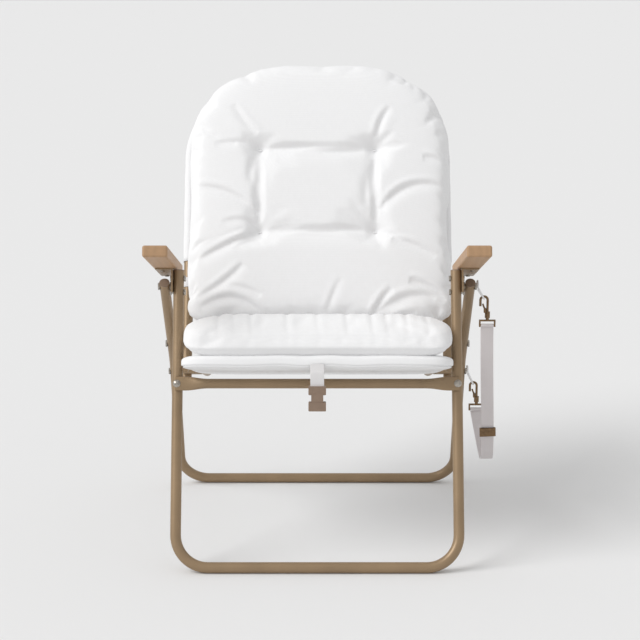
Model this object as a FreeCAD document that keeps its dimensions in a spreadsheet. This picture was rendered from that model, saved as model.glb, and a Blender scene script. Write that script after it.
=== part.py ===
"""Folding beach chair with wooden armrests, a padded seat and back, and a carrying strap.

X is the chair's right as seen from the front, Y runs to the rear and Z is up, in millimetres.
The origin is on the floor, at the middle of the footprint.
"""
import FreeCAD, Part
import Sketcher
import math
import os

V = FreeCAD.Vector
X_AXIS = V(1, 0, 0)
Y_AXIS = V(0, 1, 0)
Z_AXIS = V(0, 0, 1)
SIDES = (-1, 1)

DIMENSIONS = {
    "tube_rad": 10.0,
    "tube_wall": 1.5,
    "front_bar_y": -320.8,
    "front_half": 261.0,
    "front_lean": 19.4,
    "front_length": 552.0,
    "front_bend": 60.0,
    "rear_half": 296.0,
    "rear_bar_run": 564.0,
    "rear_bend_run": 435.0,
    "rear_bend_rise": 302.0,
    "rear_bend_rad": 60.0,
    "knee_rad": 90.0,
    "leg_pivot_run": 266.0,
    "leg_pivot_rise": 487.0,
    "leg_over": 10.0,
    "pivot_rad": 4.0,
    "running_gap": 0.05,
    "cap_thick": 2.0,
    "crossbar_along": 338.0,
    "crossbar_rad": 9.0,
    "crossbar_flat": 6.0,
    "arm_front_run": -3.0,
    "arm_front_rise": 598.0,
    "arm_slope": 15.5,
    "arm_length": 316.0,
    "arm_width": 45.0,
    "arm_thick": 21.0,
    "arm_centre_x": 286.5,
    "arm_round": 4.0,
    "bracket_thick": 3.0,
    "bracket_width": 33.0,
    "seat_half": 230.0,
    "seat_pivot_run": 446.3,
    "seat_pivot_rise": 276.4,
    "seat_slope": 15.4,
    "seat_length": 403.0,
    "seat_bend": 45.0,
    "seat_hook_along": 331.9,
    "seat_rear_along": 96.9,
    "seat_overrun": 14.0,
    "pad_thick": 38.0,
    "pad_half": 245.0,
    "pad_front_half": 254.0,
    "seat_cushion_half": 245.0,
    "seat_cushion_thick": 56.0,
    "back_half": 265.0,
    "back_pivot_run": 395.0,
    "back_pivot_rise": 346.0,
    "back_recline": 25.0,
    "back_below": 70.0,
    "back_length": 650.0,
    "back_bend": 190.0,
    "sling_start": 242.0,
    "sling_thick": 1.4,
    "back_cushion_half": 265.0,
    "back_cushion_thick": 74.0,
    "back_cushion_low": 24.0,
    "back_cushion_top": 572.0,
    "arch_base": 345.0,
    "strap_x": 333.0,
    "strap_width": 25.0,
    "strap_thick": 2.0,
    "strap_swing": 13.0,
    "slider_drop": 196.0,
    "cord_rad": 1.8,
    "hook_rad": 2.4,
}

doc = FreeCAD.newDocument("FoldingBeachChair")
sheet = doc.addObject("Spreadsheet::Sheet", "Dims")
for row, (alias, number) in enumerate(DIMENSIONS.items(), start=1):
    sheet.set(f"A{row}", alias)
    sheet.set(f"B{row}", str(number))
    sheet.setAlias(f"B{row}", alias)
doc.recompute()


class Dim:
    """A length or angle that carries its value and the expression that gives it in the sheet."""

    def __init__(self, value, text):
        self.value = float(value)
        self.text = text

    @staticmethod
    def of(other):
        return other if isinstance(other, Dim) else Dim(other, repr(float(other)))

    def __add__(self, other):
        other = Dim.of(other)
        return Dim(self.value + other.value, f"({self.text} + {other.text})")

    def __sub__(self, other):
        other = Dim.of(other)
        return Dim(self.value - other.value, f"({self.text} - {other.text})")

    def __mul__(self, other):
        other = Dim.of(other)
        return Dim(self.value * other.value, f"({self.text} * {other.text})")

    def __truediv__(self, other):
        other = Dim.of(other)
        return Dim(self.value / other.value, f"({self.text} / {other.text})")

    def __neg__(self):
        return Dim(-self.value, f"(-1 * {self.text})")

    __radd__ = __add__
    __rmul__ = __mul__

    def __rsub__(self, other):
        return Dim.of(other) - self


def cell(alias):
    """The driving dimension with this alias."""
    return Dim(float(sheet.get(alias)), f"Dims.{alias}")


def sine(angle):
    return Dim(math.sin(math.radians(angle.value)), f"sin({angle.text})")


def cosine(angle):
    return Dim(math.cos(math.radians(angle.value)), f"cos({angle.text})")


D = {alias: cell(alias) for alias in DIMENSIONS}
PARTS = []


def finish(obj, label):
    """Names a finished sub-part and puts it on the list that is written."""
    obj.Label = label
    PARTS.append(obj)
    return obj


def bind(obj, prop, dim):
    """Sets a property from a dimension and keeps it bound to the sheet."""
    dim = Dim.of(dim)
    obj.setExpression(prop, dim.text)


def place(obj, base, axis=X_AXIS, angle=0.0):
    """Places an object at base, turned by angle about axis, with every value bound to the sheet."""
    base = [Dim.of(b) for b in base]
    angle = Dim.of(angle)
    start = V(*[b.value for b in base])
    turned = FreeCAD.Rotation(axis, angle.value if angle.value else 1e-9)
    obj.Placement = FreeCAD.Placement(start, turned)
    for name, dim in zip("xyz", base):
        obj.setExpression(f"Placement.Base.{name}", dim.text)
    return obj


def box(name, size, base, axis=X_AXIS, angle=0.0):
    """A box with one corner at base."""
    obj = doc.addObject("Part::Box", name)
    for prop, dim in zip(("Length", "Width", "Height"), size):
        bind(obj, prop, dim)
    return place(obj, base, axis, angle)


def rod(name, radius, length, base, axis=X_AXIS, angle=0.0):
    """A cylinder standing on base, along the Z axis turned by angle about axis."""
    obj = doc.addObject("Part::Cylinder", name)
    bind(obj, "Radius", radius)
    bind(obj, "Height", length)
    return place(obj, base, axis, angle)


def cross_rod(name, radius, start_x, length, run, rise):
    """A cylinder along +X from start_x at the given depth and height."""
    return rod(name, radius, length, (start_x, run, rise), Y_AXIS, 90.0)


def joined(name, shapes):
    obj = doc.addObject("Part::MultiFuse", name)
    obj.Shapes = shapes
    return obj


def minus(name, base, tool):
    obj = doc.addObject("Part::Cut", name)
    obj.Base = base
    obj.Tool = tool
    return obj


def grouped(name, shapes):
    """Separate solids of one kind kept as one sub-part."""
    obj = doc.addObject("Part::Compound", name)
    obj.Links = shapes
    return obj


def plane(body, role):
    """An origin plane of a body, found by its role."""
    return next(f for f in body.Origin.OriginFeatures if f.Role == role)


def sketch_in(body, name, role):
    """A sketch on one of the body's origin planes."""
    sketch = body.newObject("Sketcher::SketchObject", name)
    sketch.AttachmentSupport = [(plane(body, role), "")]
    sketch.MapMode = "FlatFace"
    return sketch


def rounded_path(sketch, corners, radius):
    """Draws straight runs through corners joined by tangent arcs, all bound to the sheet."""
    pts = [V(Dim.of(a).value, Dim.of(b).value, 0) for a, b in corners]
    bend = radius.value
    lines = []
    arcs = []
    cuts = [pts[0]]
    for k in range(1, len(pts) - 1):
        before = (pts[k - 1] - pts[k]).normalize()
        after = (pts[k + 1] - pts[k]).normalize()
        half = before.getAngle(after) / 2
        back = bend / math.tan(half)
        middle = pts[k] + (before + after).normalize() * (bend / math.sin(half))
        first = pts[k] + before * back
        last = pts[k] + after * back
        deep = middle + (pts[k] - middle).normalize() * bend
        cuts.append((first, deep, last))
    begin = pts[0]
    for cut in cuts[1:]:
        lines.append(sketch.addGeometry(Part.LineSegment(begin, cut[0]), False))
        arcs.append(sketch.addGeometry(Part.Arc(*cut), False))
        begin = cut[2]
    lines.append(sketch.addGeometry(Part.LineSegment(begin, pts[-1]), False))
    marks = [sketch.addGeometry(Part.Point(p), True) for p in pts]
    arc_ends = []
    for k, arc in enumerate(arcs):
        start = sketch.Geometry[arc].StartPoint
        line_end = sketch.Geometry[lines[k]].EndPoint
        ends = (1, 2) if (start - line_end).Length < 1e-6 else (2, 1)
        arc_ends.append(ends)
        sketch.addConstraint(Sketcher.Constraint("Tangent", lines[k], 2, arc, ends[0]))
        sketch.addConstraint(Sketcher.Constraint("Tangent", arc, ends[1], lines[k + 1], 1))
        row = sketch.addConstraint(Sketcher.Constraint("Radius", arc, bend))
        sketch.setExpression(f"Constraints[{row}]", radius.text)
    sketch.addConstraint(Sketcher.Constraint("Coincident", lines[0], 1, marks[0], 1))
    sketch.addConstraint(Sketcher.Constraint("Coincident", lines[-1], 2, marks[-1], 1))
    for k in range(1, len(pts) - 1):
        sketch.addConstraint(Sketcher.Constraint("PointOnObject", marks[k], 1, lines[k - 1]))
        sketch.addConstraint(Sketcher.Constraint("PointOnObject", marks[k], 1, lines[k]))
    for mark, corner in zip(marks, corners):
        for kind, dim in zip(("DistanceX", "DistanceY"), corner):
            dim = Dim.of(dim)
            row = sketch.addConstraint(Sketcher.Constraint(kind, -1, 1, mark, 1, dim.value))
            sketch.setExpression(f"Constraints[{row}]", dim.text)


def ring_profile(sketch, centre, radii):
    """Circles about one centre on the sketch's X axis, bound to the sheet."""
    for radius in radii:
        centre_point = V(centre.value, 0, 0)
        edge = sketch.addGeometry(Part.Circle(centre_point, Z_AXIS, radius.value), False)
        row = sketch.addConstraint(Sketcher.Constraint("Radius", edge, radius.value))
        sketch.setExpression(f"Constraints[{row}]", radius.text)
        row = sketch.addConstraint(Sketcher.Constraint("DistanceX", -1, 1, edge, 3, centre.value))
        sketch.setExpression(f"Constraints[{row}]", centre.text)
        sketch.addConstraint(Sketcher.Constraint("PointOnObject", edge, 3, -1))


def bent_tube(name, half, reach, bend, radii):
    """A tube bent to a U: ends at Z = 0 of its own frame and a crossing at reach."""
    body = doc.addObject("PartDesign::Body", name)
    spine = sketch_in(body, name + "_path", "XZ_Plane")
    first = half if reach.value > 0 else -half
    rounded_path(spine, [(first, 0.0), (first, reach), (-first, reach), (-first, 0.0)], bend)
    ring = sketch_in(body, name + "_ring", "XY_Plane")
    ring_profile(ring, first, radii)
    doc.recompute()
    pipe = body.newObject("PartDesign::AdditivePipe", name + "_pipe")
    pipe.Profile = ring
    pipe.Spine = (spine, [])
    pipe.Mode = "Standard"
    body.Tip = pipe
    return body


# Places in the chair's side view, as depth and height.
def side(run, rise):
    """Depth and height of a point given from the front floor bar."""
    return (D["front_bar_y"] + run, Dim.of(rise))


rad = D["tube_rad"]
bore = rad - D["tube_wall"]
pin_rad = D["pivot_rad"]
hole_rad = pin_rad + D["running_gap"]
lean = D["front_lean"]


def on_front_leg(along):
    """A point on the front leg's centre line, measured up from the floor bar."""
    return side(along * sine(lean), rad + along * cosine(lean))


def on_seat(along, above=0.0):
    """A point of the seat plane, measured forward from its pivot and up from its rails."""
    slope = D["seat_slope"]
    run = D["seat_pivot_run"] - along * cosine(slope) + Dim.of(above) * sine(slope)
    rise = D["seat_pivot_rise"] + along * sine(slope) + Dim.of(above) * cosine(slope)
    return side(run, rise)


def on_back(along, ahead=0.0):
    """A point of the back plane, measured up from its pivot and forward from its tubes."""
    tilt = D["back_recline"]
    run = D["back_pivot_run"] + along * sine(tilt) - Dim.of(ahead) * cosine(tilt)
    rise = D["back_pivot_rise"] + along * cosine(tilt) + Dim.of(ahead) * sine(tilt)
    return side(run, rise)


def on_arm(along, below=0.0):
    """A point of the armrest, measured back from its front end and down from its middle."""
    slope = D["arm_slope"]
    run = D["arm_front_run"] + along * cosine(slope) - Dim.of(below) * sine(slope)
    rise = D["arm_front_rise"] - along * sine(slope) - Dim.of(below) * cosine(slope)
    return side(run, rise)


LEG_PIVOT = side(D["leg_pivot_run"], D["leg_pivot_rise"])
SEAT_PIVOT = side(D["seat_pivot_run"], D["seat_pivot_rise"])
BACK_PIVOT = side(D["back_pivot_run"], D["back_pivot_rise"])
FRONT_TOP = on_front_leg(D["front_length"])
BRACKET_BOLTS = [on_front_leg(D["front_length"] - drop) for drop in (14.0, 40.0)]
SEAT_HOOK = on_seat(D["seat_hook_along"])


def polygon(sketch, corners):
    """A closed outline of straight edges with every corner bound to the sheet."""
    pts = [V(Dim.of(a).value, Dim.of(b).value, 0) for a, b in corners]
    edges = []
    for k, point in enumerate(pts):
        following = pts[(k + 1) % len(pts)]
        edges.append(sketch.addGeometry(Part.LineSegment(point, following), False))
    for k, edge in enumerate(edges):
        sketch.addConstraint(Sketcher.Constraint("Coincident", edge, 2, edges[(k + 1) % len(edges)], 1))
        for kind, dim in zip(("DistanceX", "DistanceY"), corners[k]):
            dim = Dim.of(dim)
            row = sketch.addConstraint(Sketcher.Constraint(kind, -1, 1, edge, 1, dim.value))
            sketch.setExpression(f"Constraints[{row}]", dim.text)


def padded_outline(name, corners, thick, rounding):
    """A body padded from an outline, with all its edges rounded."""
    body = doc.addObject("PartDesign::Body", name)
    outline = sketch_in(body, name + "_outline", "XY_Plane")
    polygon(outline, corners)
    pad = body.newObject("PartDesign::Pad", name + "_pad")
    pad.Profile = outline
    bind(pad, "Length", thick)
    body.Tip = pad
    doc.recompute()
    edges = [f"Edge{k + 1}" for k in range(len(pad.Shape.Edges))]
    fillet = body.newObject("PartDesign::Fillet", name + "_round")
    fillet.Base = (pad, edges)
    bind(fillet, "Radius", rounding)
    body.Tip = fillet
    return body


def shaped(name, shape):
    """A sub-part whose form is made directly from curves."""
    obj = doc.addObject("Part::Feature", name)
    obj.Shape = shape
    return obj


def rounded_wire(points, bends):
    """A wire of straight runs through points with tangent arcs of the given radii between them."""
    edges = []
    begin = points[0]
    for k in range(1, len(points) - 1):
        before = (points[k - 1] - points[k]).normalize()
        after = (points[k + 1] - points[k]).normalize()
        half = before.getAngle(after) / 2
        back = bends[k - 1] / math.tan(half)
        middle = points[k] + (before + after).normalize() * (bends[k - 1] / math.sin(half))
        first = points[k] + before * back
        last = points[k] + after * back
        deep = middle + (points[k] - middle).normalize() * bends[k - 1]
        edges.append(Part.makeLine(begin, first))
        edges.append(Part.Arc(first, deep, last).toShape())
        begin = last
    edges.append(Part.makeLine(begin, points[-1]))
    return Part.Wire(edges)


def even_bends(points):
    """The largest comfortable bend at each corner of a path."""
    radii = []
    for k in range(1, len(points) - 1):
        before = points[k - 1] - points[k]
        after = points[k + 1] - points[k]
        half = before.getAngle(after) / 2
        radii.append(0.45 * min(before.Length, after.Length) * math.tan(half))
    return radii


def round_bar(points, bends, radius):
    """A round bar along a path of straight runs and arcs."""
    wire = rounded_wire(points, bends)
    start = (points[1] - points[0]).normalize()
    ring = Part.Wire(Part.makeCircle(radius, points[0], start))
    return wire.makePipeShell([ring], True, False)


def at(x, where):
    """A point in space from a position across the chair and a depth and height."""
    return V(Dim.of(x).value, where[0].value, where[1].value)


# Front legs: one tube bent to a U, standing on its floor bar.
front_blank = bent_tube("FrontLegBlank", D["front_half"], -D["front_length"], D["front_bend"], (rad, bore))
place(front_blank, (0.0, *FRONT_TOP), X_AXIS, -lean)
screw_rad = 3.0
clear_rad = 3.1
front_holes = []
crossbar_seat = on_front_leg(D["crossbar_along"])
for hand in SIDES:
    for spot in BRACKET_BOLTS:
        front_holes.append(
            cross_rod("BracketBoltHole", clear_rad, D["front_half"] * hand - 15.0, 30.0, *spot))
    front_holes.append(cross_rod("HookPinHole", hole_rad, D["front_half"] * hand - 15.0, 30.0, *SEAT_HOOK))
    front_holes.append(
        rod("CrossbarHole", clear_rad, 22.0, (D["front_half"] * hand, *crossbar_seat), X_AXIS, 90.0 - lean)
    )
front_leg = minus("FrontLeg", front_blank, joined("FrontLegHoles", front_holes))
finish(front_leg, "front_leg_tube")

front_caps = []
for hand in SIDES:
    where = (D["front_half"] * hand, *FRONT_TOP)
    disc = rod("FrontCapDisc", rad, D["cap_thick"], where, X_AXIS, -lean)
    low = on_front_leg(D["front_length"] - 8.0)
    plug = rod("FrontCapPlug", bore - 0.15, 8.0, (D["front_half"] * hand, *low), X_AXIS, -lean)
    front_caps.append(joined("FrontCap", [disc, plug]))
finish(grouped("FrontCaps", front_caps), "front_leg_caps")

# Front crossbar: a tube whose ends are pressed flat and bolted to the front of the legs.
forward = V(0, -math.cos(math.radians(lean.value)), math.sin(math.radians(lean.value)))
upward = V(0, math.sin(math.radians(lean.value)), math.cos(math.radians(lean.value)))
flat_half = D["crossbar_flat"].value / 2
bar_offset = rad.value + 0.2 + flat_half
flat_high = 13.0
bar_rad = D["crossbar_rad"].value
bar_middle = at(0.0, crossbar_seat) + forward * bar_offset


def bar_section(x, tall, deep):
    """An oval section of the crossbar: tall up the leg and deep away from it."""
    centre = bar_middle + X_AXIS * x
    oval = Part.Ellipse(centre + upward * tall, centre + forward * deep, centre)
    return Part.Wire(oval.toShape())


bar_inner = D["front_half"].value - 58.0
bar_outer = D["front_half"].value - 16.0
bar_end = D["front_half"].value + 3.0
bar_steps = 6
half_bar = [(bar_end, 1.0), (bar_outer, 1.0)]
for step in range(1, bar_steps + 1):
    share = step / bar_steps
    pressed = 0.5 + 0.5 * math.cos(math.pi * share)
    half_bar.append((bar_outer + (bar_inner - bar_outer) * share, pressed))
bar_stations = [(-x, pressed) for x, pressed in half_bar] + half_bar[::-1]
bar_ovals = [
    bar_section(x, bar_rad + 0.01 + (flat_high - bar_rad) * pressed,
                bar_rad + (flat_half - bar_rad) * pressed)
    for x, pressed in bar_stations
]
bar_solid = Part.makeLoft(bar_ovals, True, True)
bolt_solids = []
for hand in SIDES:
    leg_middle = at(D["front_half"] * hand, crossbar_seat)
    hole = Part.makeCylinder(clear_rad, 30, leg_middle, forward)
    bar_solid = bar_solid.cut(hole)
    shank = Part.makeCylinder(screw_rad, bar_offset + flat_half + 1.0, leg_middle, forward)
    seat_face = leg_middle + forward * (bar_offset + flat_half + 0.05)
    dome = Part.makeSphere(9.0, seat_face - forward * 5.4)
    dome = dome.common(Part.makeCylinder(8.0, 6.0, seat_face, forward))
    bolt_solids.append(shank.fuse(dome).removeSplitter())
finish(shaped("FrontCrossbar", bar_solid), "front_crossbar")
finish(shaped("CrossbarBolts", Part.makeCompound(bolt_solids)), "crossbar_bolts")

# Seat hook pins: short pegs in the inner side of the front legs.
hook_pins = []
plate_face = D["seat_half"] + rad
for hand in SIDES:
    length = D["front_half"] + rad - 1.5 - plate_face - 0.6
    start = (plate_face + 0.6) if hand > 0 else -(D["front_half"] + rad - 1.5)
    hook_pins.append(cross_rod("HookPin", pin_rad, start, length, *SEAT_HOOK))
finish(grouped("HookPins", hook_pins), "seat_hook_pins")

# Armrests, their steel brackets and the fasteners that hold them.
arm_half = D["arm_width"] / 2
under = D["arm_thick"] / 2
arm_slope = D["arm_slope"]
thick = D["bracket_thick"]
bracket_from = 180.0
bracket_long = 124.0
bracket_deep = 45.0
flange_in = D["front_half"] + rad
arm_screws = []
bracket_bolts = []
pivot_bolts = []
pivot_washers = []
for hand, word in zip(SIDES, ("left", "right")):
    middle_x = D["arm_centre_x"] * hand
    outline = [
        (-arm_half, 0.0001),
        (arm_half, 0.0001),
        (arm_half, D["arm_length"]),
        (-arm_half, D["arm_length"]),
    ]
    arm = padded_outline(f"{word.title()}Armrest", outline, D["arm_thick"], D["arm_round"])
    place(arm, (middle_x, *on_arm(0.0, under)), X_AXIS, -arm_slope)
    screw_spots = [bracket_from + 22.0, bracket_from + bracket_long - 12.0]
    screw_x = D["arm_centre_x"] * hand + 6.0 * hand
    pilot = [
        rod("ScrewPilot", 2.05, 14.0, (screw_x, *on_arm(spot, under)), X_AXIS, -arm_slope)
        for spot in screw_spots
    ]
    arm_part = minus(f"{word.title()}ArmrestBored", arm, joined("ScrewPilots", pilot))
    finish(arm_part, f"{word}_armrest")

    flange_x = flange_in if hand > 0 else -(flange_in + thick)
    flange = box("Flange", (thick, bracket_long, bracket_deep),
                 (flange_x, *on_arm(bracket_from, under + bracket_deep)), X_AXIS, -arm_slope)
    top_x = flange_in if hand > 0 else -(flange_in + D["bracket_width"])
    top = box("TopPlate", (D["bracket_width"], bracket_long, thick),
              (top_x, *on_arm(bracket_from, under + thick)), X_AXIS, -arm_slope)
    cuts = [cross_rod("BoltHole", clear_rad, flange_x - 5.0, 14.0, *spot) for spot in BRACKET_BOLTS]
    cuts.append(cross_rod("PivotHole", hole_rad, flange_x - 5.0, 14.0, *LEG_PIVOT))
    for spot in screw_spots:
        cuts.append(rod("ScrewHole", 2.3, 10.0, (screw_x, *on_arm(spot, under + 6.0)), X_AXIS, -arm_slope))
        shank_at = (screw_x, *on_arm(spot, under + thick))
        shank = rod("ScrewShank", 2.0, 13.0 + thick, shank_at, X_AXIS, -arm_slope)
        head = rod("ScrewHead", 4.0, 2.2, (screw_x, *on_arm(spot, under + thick + 2.2)), X_AXIS, -arm_slope)
        arm_screws.append(joined("ArmScrew", [shank, head]))
    blank = joined("BracketBlank", [flange, top])
    bracket = minus(f"{word.title()}Bracket", blank, joined("BracketHoles", cuts))
    finish(bracket, f"{word}_arm_bracket")

    inner_x = D["front_half"] - rad - 3.2
    for spot in BRACKET_BOLTS:
        start = inner_x if hand > 0 else -(flange_in + thick + 3.0)
        shank = cross_rod("BoltShank", screw_rad, start, 2.0 * rad + thick + 6.2, *spot)
        head_x = inner_x if hand > 0 else -(inner_x + 3.0)
        head = cross_rod("BoltHead", 5.5, head_x, 3.0, *spot)
        nut_x = (flange_in + thick + 0.05) if hand > 0 else -(flange_in + thick + 3.0)
        nut = cross_rod("BoltNut", 5.5, nut_x, 2.95, *spot)
        bracket_bolts.append(joined("BracketBolt", [shank, head, nut]))

    reach = D["rear_half"] + rad + 0.1 - flange_in + 3.2
    start = (flange_in - 3.2) if hand > 0 else -(D["rear_half"] + rad + 0.1)
    shank = cross_rod("PivotShank", pin_rad, start, reach, *LEG_PIVOT)
    head_x = (D["rear_half"] + rad + 0.1) if hand > 0 else -(D["rear_half"] + rad + 3.1)
    head = cross_rod("PivotHead", 7.0, head_x, 3.0, *LEG_PIVOT)
    nut_x = (flange_in - 5.2) if hand > 0 else -(flange_in - 0.05)
    nut = cross_rod("PivotNut", 6.5, nut_x, 5.15, *LEG_PIVOT)
    pivot_bolts.append(joined("PivotBolt", [shank, head, nut]))
    gap = D["rear_half"] - rad - flange_in - thick
    wash_x = (flange_in + thick + 0.05) if hand > 0 else -(D["rear_half"] - rad - 0.35)
    ring = cross_rod("WasherRing", 9.0, wash_x, gap - 0.4, *LEG_PIVOT)
    eye = cross_rod("WasherEye", hole_rad, wash_x - 1.0, gap + 2.0, *LEG_PIVOT)
    pivot_washers.append(minus("PivotWasher", ring, eye))
finish(grouped("ArmScrews", arm_screws), "armrest_screws")
finish(grouped("BracketBolts", bracket_bolts), "arm_bracket_bolts")
finish(grouped("PivotBolts", pivot_bolts), "leg_pivot_bolts")
finish(grouped("PivotWashers", pivot_washers), "leg_pivot_spacers")

# Rear legs: one tube with a knee in each side and its own floor bar.
knee = side(D["rear_bend_run"], D["rear_bend_rise"])
heel = side(D["rear_bar_run"], rad)
up_run = D["leg_pivot_run"].value - D["rear_bend_run"].value
up_rise = D["leg_pivot_rise"].value - D["rear_bend_rise"].value
up_long = math.hypot(up_run, up_rise)
rear_up = V(0, up_run / up_long, up_rise / up_long)
rear_pts = []
for hand in SIDES:
    top = at(D["rear_half"] * hand, LEG_PIVOT) + rear_up * D["leg_over"].value
    column = [top, at(D["rear_half"] * hand, knee), at(D["rear_half"] * hand, heel)]
    rear_pts += column if hand < 0 else column[::-1]
rear_bends = [D["knee_rad"].value, D["rear_bend_rad"].value, D["rear_bend_rad"].value, D["knee_rad"].value]
rear_solid = round_bar(rear_pts, rear_bends, rad.value).cut(round_bar(rear_pts, rear_bends, bore.value))
for hand in SIDES:
    middle = D["rear_half"].value * hand
    for spot in (LEG_PIVOT, SEAT_PIVOT, BACK_PIVOT):
        rear_solid = rear_solid.cut(
            Part.makeCylinder(hole_rad.value, 40.0, at(middle - 20.0, spot), X_AXIS)
        )
finish(shaped("RearLeg", rear_solid), "rear_leg_tube")

rear_caps = []
for hand in SIDES:
    end = at(D["rear_half"] * hand, LEG_PIVOT) + rear_up * (D["leg_over"].value + 0.02)
    disc = Part.makeCylinder(rad.value, D["cap_thick"].value, end, rear_up)
    plug = Part.makeCylinder(bore.value - 0.15, 3.5, end - rear_up * 3.5, rear_up)
    rear_caps.append(disc.fuse(plug).removeSplitter())
finish(shaped("RearCaps", Part.makeCompound(rear_caps)), "rear_leg_caps")

# Seat pivot: a rod right across the rear legs, with sleeves, and back pivot bolts above it.
rod_end = D["rear_half"] + rad + 3.0
seat_rod = cross_rod("SeatRod", pin_rad, -rod_end, 2.0 * rod_end, *SEAT_PIVOT)
finish(seat_rod, "seat_pivot_rod")


def ring_between(name, outer, inner, x_near, x_far, hand, where):
    """A ring on an X axis between two distances from the chair's middle."""
    start = x_near if hand > 0 else -x_far
    length = x_far - x_near
    solid = cross_rod(name + "Solid", outer, start, length, *where)
    eye = cross_rod(name + "Eye", inner, start - 1.0, length + 2.0, *where)
    return minus(name, solid, eye)


rail_out = D["seat_half"] + rad
leg_in = D["rear_half"] - rad
leg_out = D["rear_half"] + rad
back_out = D["back_half"] + rad
back_in = D["back_half"] - rad
rod_nuts = []
sleeves = []
back_bolts = []
back_washers = []
for hand in SIDES:
    rod_nuts.append(
        ring_between("RodNut", Dim.of(6.5), hole_rad, leg_out + 0.1, leg_out + 2.9, hand, SEAT_PIVOT))
    sleeves.append(
        ring_between("RodSleeve", Dim.of(7.0), hole_rad, rail_out + 0.3, leg_in - 0.1, hand, SEAT_PIVOT))
    start = (back_in - 5.3) if hand > 0 else -(leg_out + 0.1)
    shank = cross_rod("BackShank", pin_rad, start, leg_out + 0.1 - back_in + 5.3, *BACK_PIVOT)
    head_x = (leg_out + 0.1) if hand > 0 else -(leg_out + 3.0)
    head = cross_rod("BackHead", 7.0, head_x, 2.9, *BACK_PIVOT)
    nut_x = (back_in - 5.3) if hand > 0 else -(back_in - 0.4)
    nut = cross_rod("BackNut", 6.5, nut_x, 4.9, *BACK_PIVOT)
    back_bolts.append(joined("BackBolt", [shank, head, nut]))
    back_washers.append(
        ring_between("BackWasher", Dim.of(8.5), hole_rad, back_out + 0.4, leg_in - 0.1, hand, BACK_PIVOT)
    )
finish(grouped("RodNuts", rod_nuts), "seat_rod_nuts")
finish(grouped("RodSleeves", sleeves), "seat_rod_sleeves")
finish(grouped("BackBolts", back_bolts), "back_pivot_bolts")
finish(grouped("BackWashers", back_washers), "back_pivot_spacers")

# Seat frame: a U tube on the pivot rod, with a rear tube whose stubs stop the back.
over = D["seat_overrun"]
seat_turn = -(90.0 + D["seat_slope"])
rail_end = on_seat(-over)
seat_reach = -(D["seat_length"] + over)
seat_blank = bent_tube("SeatFrameBlank", D["seat_half"], seat_reach, D["seat_bend"], (rad, bore))
place(seat_blank, (0.0, *rail_end), X_AXIS, seat_turn)
rod_holes = [
    cross_rod("RailHole", hole_rad, D["seat_half"] * hand - 15.0, 30.0, *SEAT_PIVOT) for hand in SIDES
]
finish(minus("SeatFrame", seat_blank, joined("RailHoles", rod_holes)), "seat_frame_tube")

stub_rad = 9.0
rear_tube_at = on_seat(D["seat_rear_along"])
rear_inside = D["seat_half"] - rad - 0.2
rear_tubes = [cross_rod("SeatRearMiddle", stub_rad, -rear_inside, 2.0 * rear_inside, *rear_tube_at)]
for hand in SIDES:
    start = (rail_out + 0.2) if hand > 0 else -back_out
    rear_tubes.append(cross_rod("SeatStub", stub_rad, start, back_out - rail_out - 0.2, *rear_tube_at))
finish(grouped("SeatRearTubes", rear_tubes), "seat_rear_tube")

hook_plates = []
plate_thick = 4.0
turn_up = 180.0 - D["seat_slope"]
for hand in SIDES:
    plate_x = rail_out if hand > 0 else -(rail_out + plate_thick)
    upper = box("HookUpper", (plate_thick, 30.0, 9.0),
                (plate_x, *on_seat(D["seat_hook_along"] - 15.0, 14.0)), X_AXIS, turn_up)
    lip = box("HookLip", (plate_thick, 10.6, 19.0),
              (plate_x, *on_seat(D["seat_hook_along"] + 4.4, 5.0)), X_AXIS, turn_up)
    notch = cross_rod("HookNotch", 4.4, plate_x - 1.0, 6.0, *SEAT_HOOK)
    hook_plates.append(minus("HookPlate", joined("HookBlank", [upper, lip]), notch))
finish(grouped("HookPlates", hook_plates), "seat_hook_plates")

# Padded seat panel: slides over the front of the seat frame and is cut away round the hooks.
pad_rear = 112.0
pad_front = D["seat_length"] + 19.0
cut_in = D["seat_half"] - 12.0
cut_low = D["seat_hook_along"] - 24.0
cut_high = D["seat_hook_along"] + 25.0
right_edge = [
    (D["pad_front_half"], pad_front),
    (D["pad_front_half"], cut_high),
    (cut_in, cut_high),
    (cut_in, cut_low),
    (D["pad_half"], cut_low),
    (D["pad_half"], pad_rear),
]
left_edge = [(-a, b) for a, b in right_edge[::-1]]
panel_blank = padded_outline("SeatPanelBlank", right_edge + left_edge, D["pad_thick"], Dim.of(9.0))
place(panel_blank, (0.0, *on_seat(0.0, D["pad_thick"] / 2)), X_AXIS, turn_up)
tunnel = bent_tube("SeatTunnel", D["seat_half"], seat_reach, D["seat_bend"], (rad + 0.2,))
place(tunnel, (0.0, *rail_end), X_AXIS, seat_turn)
finish(minus("SeatPanel", panel_blank, tunnel), "seat_panel")

# Back frame: an arched tube on the back pivots, ending below them against the seat's stubs.
back_turn = -D["back_recline"]
below = D["back_below"]
back_foot = on_back(-below)
back_reach = D["back_length"]
back_blank = bent_tube("BackFrameBlank", D["back_half"], back_reach, D["back_bend"], (rad, bore))
place(back_blank, (0.0, *back_foot), X_AXIS, back_turn)
back_holes = [
    cross_rod("BackHole", hole_rad, D["back_half"] * hand - 15.0, 30.0, *BACK_PIVOT) for hand in SIDES
]
finish(minus("BackFrame", back_blank, joined("BackHoles", back_holes)), "back_frame_tube")

back_caps = []
for hand in SIDES:
    low = on_back(-below - D["cap_thick"])
    disc = rod("BackCapDisc", rad, D["cap_thick"], (D["back_half"] * hand, *low), X_AXIS, back_turn)
    plug = rod("BackCapPlug", bore - 0.15, 8.0, (D["back_half"] * hand, *back_foot), X_AXIS, back_turn)
    back_caps.append(joined("BackCap", [disc, plug]))
finish(grouped("BackCaps", back_caps), "back_frame_caps")

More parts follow.
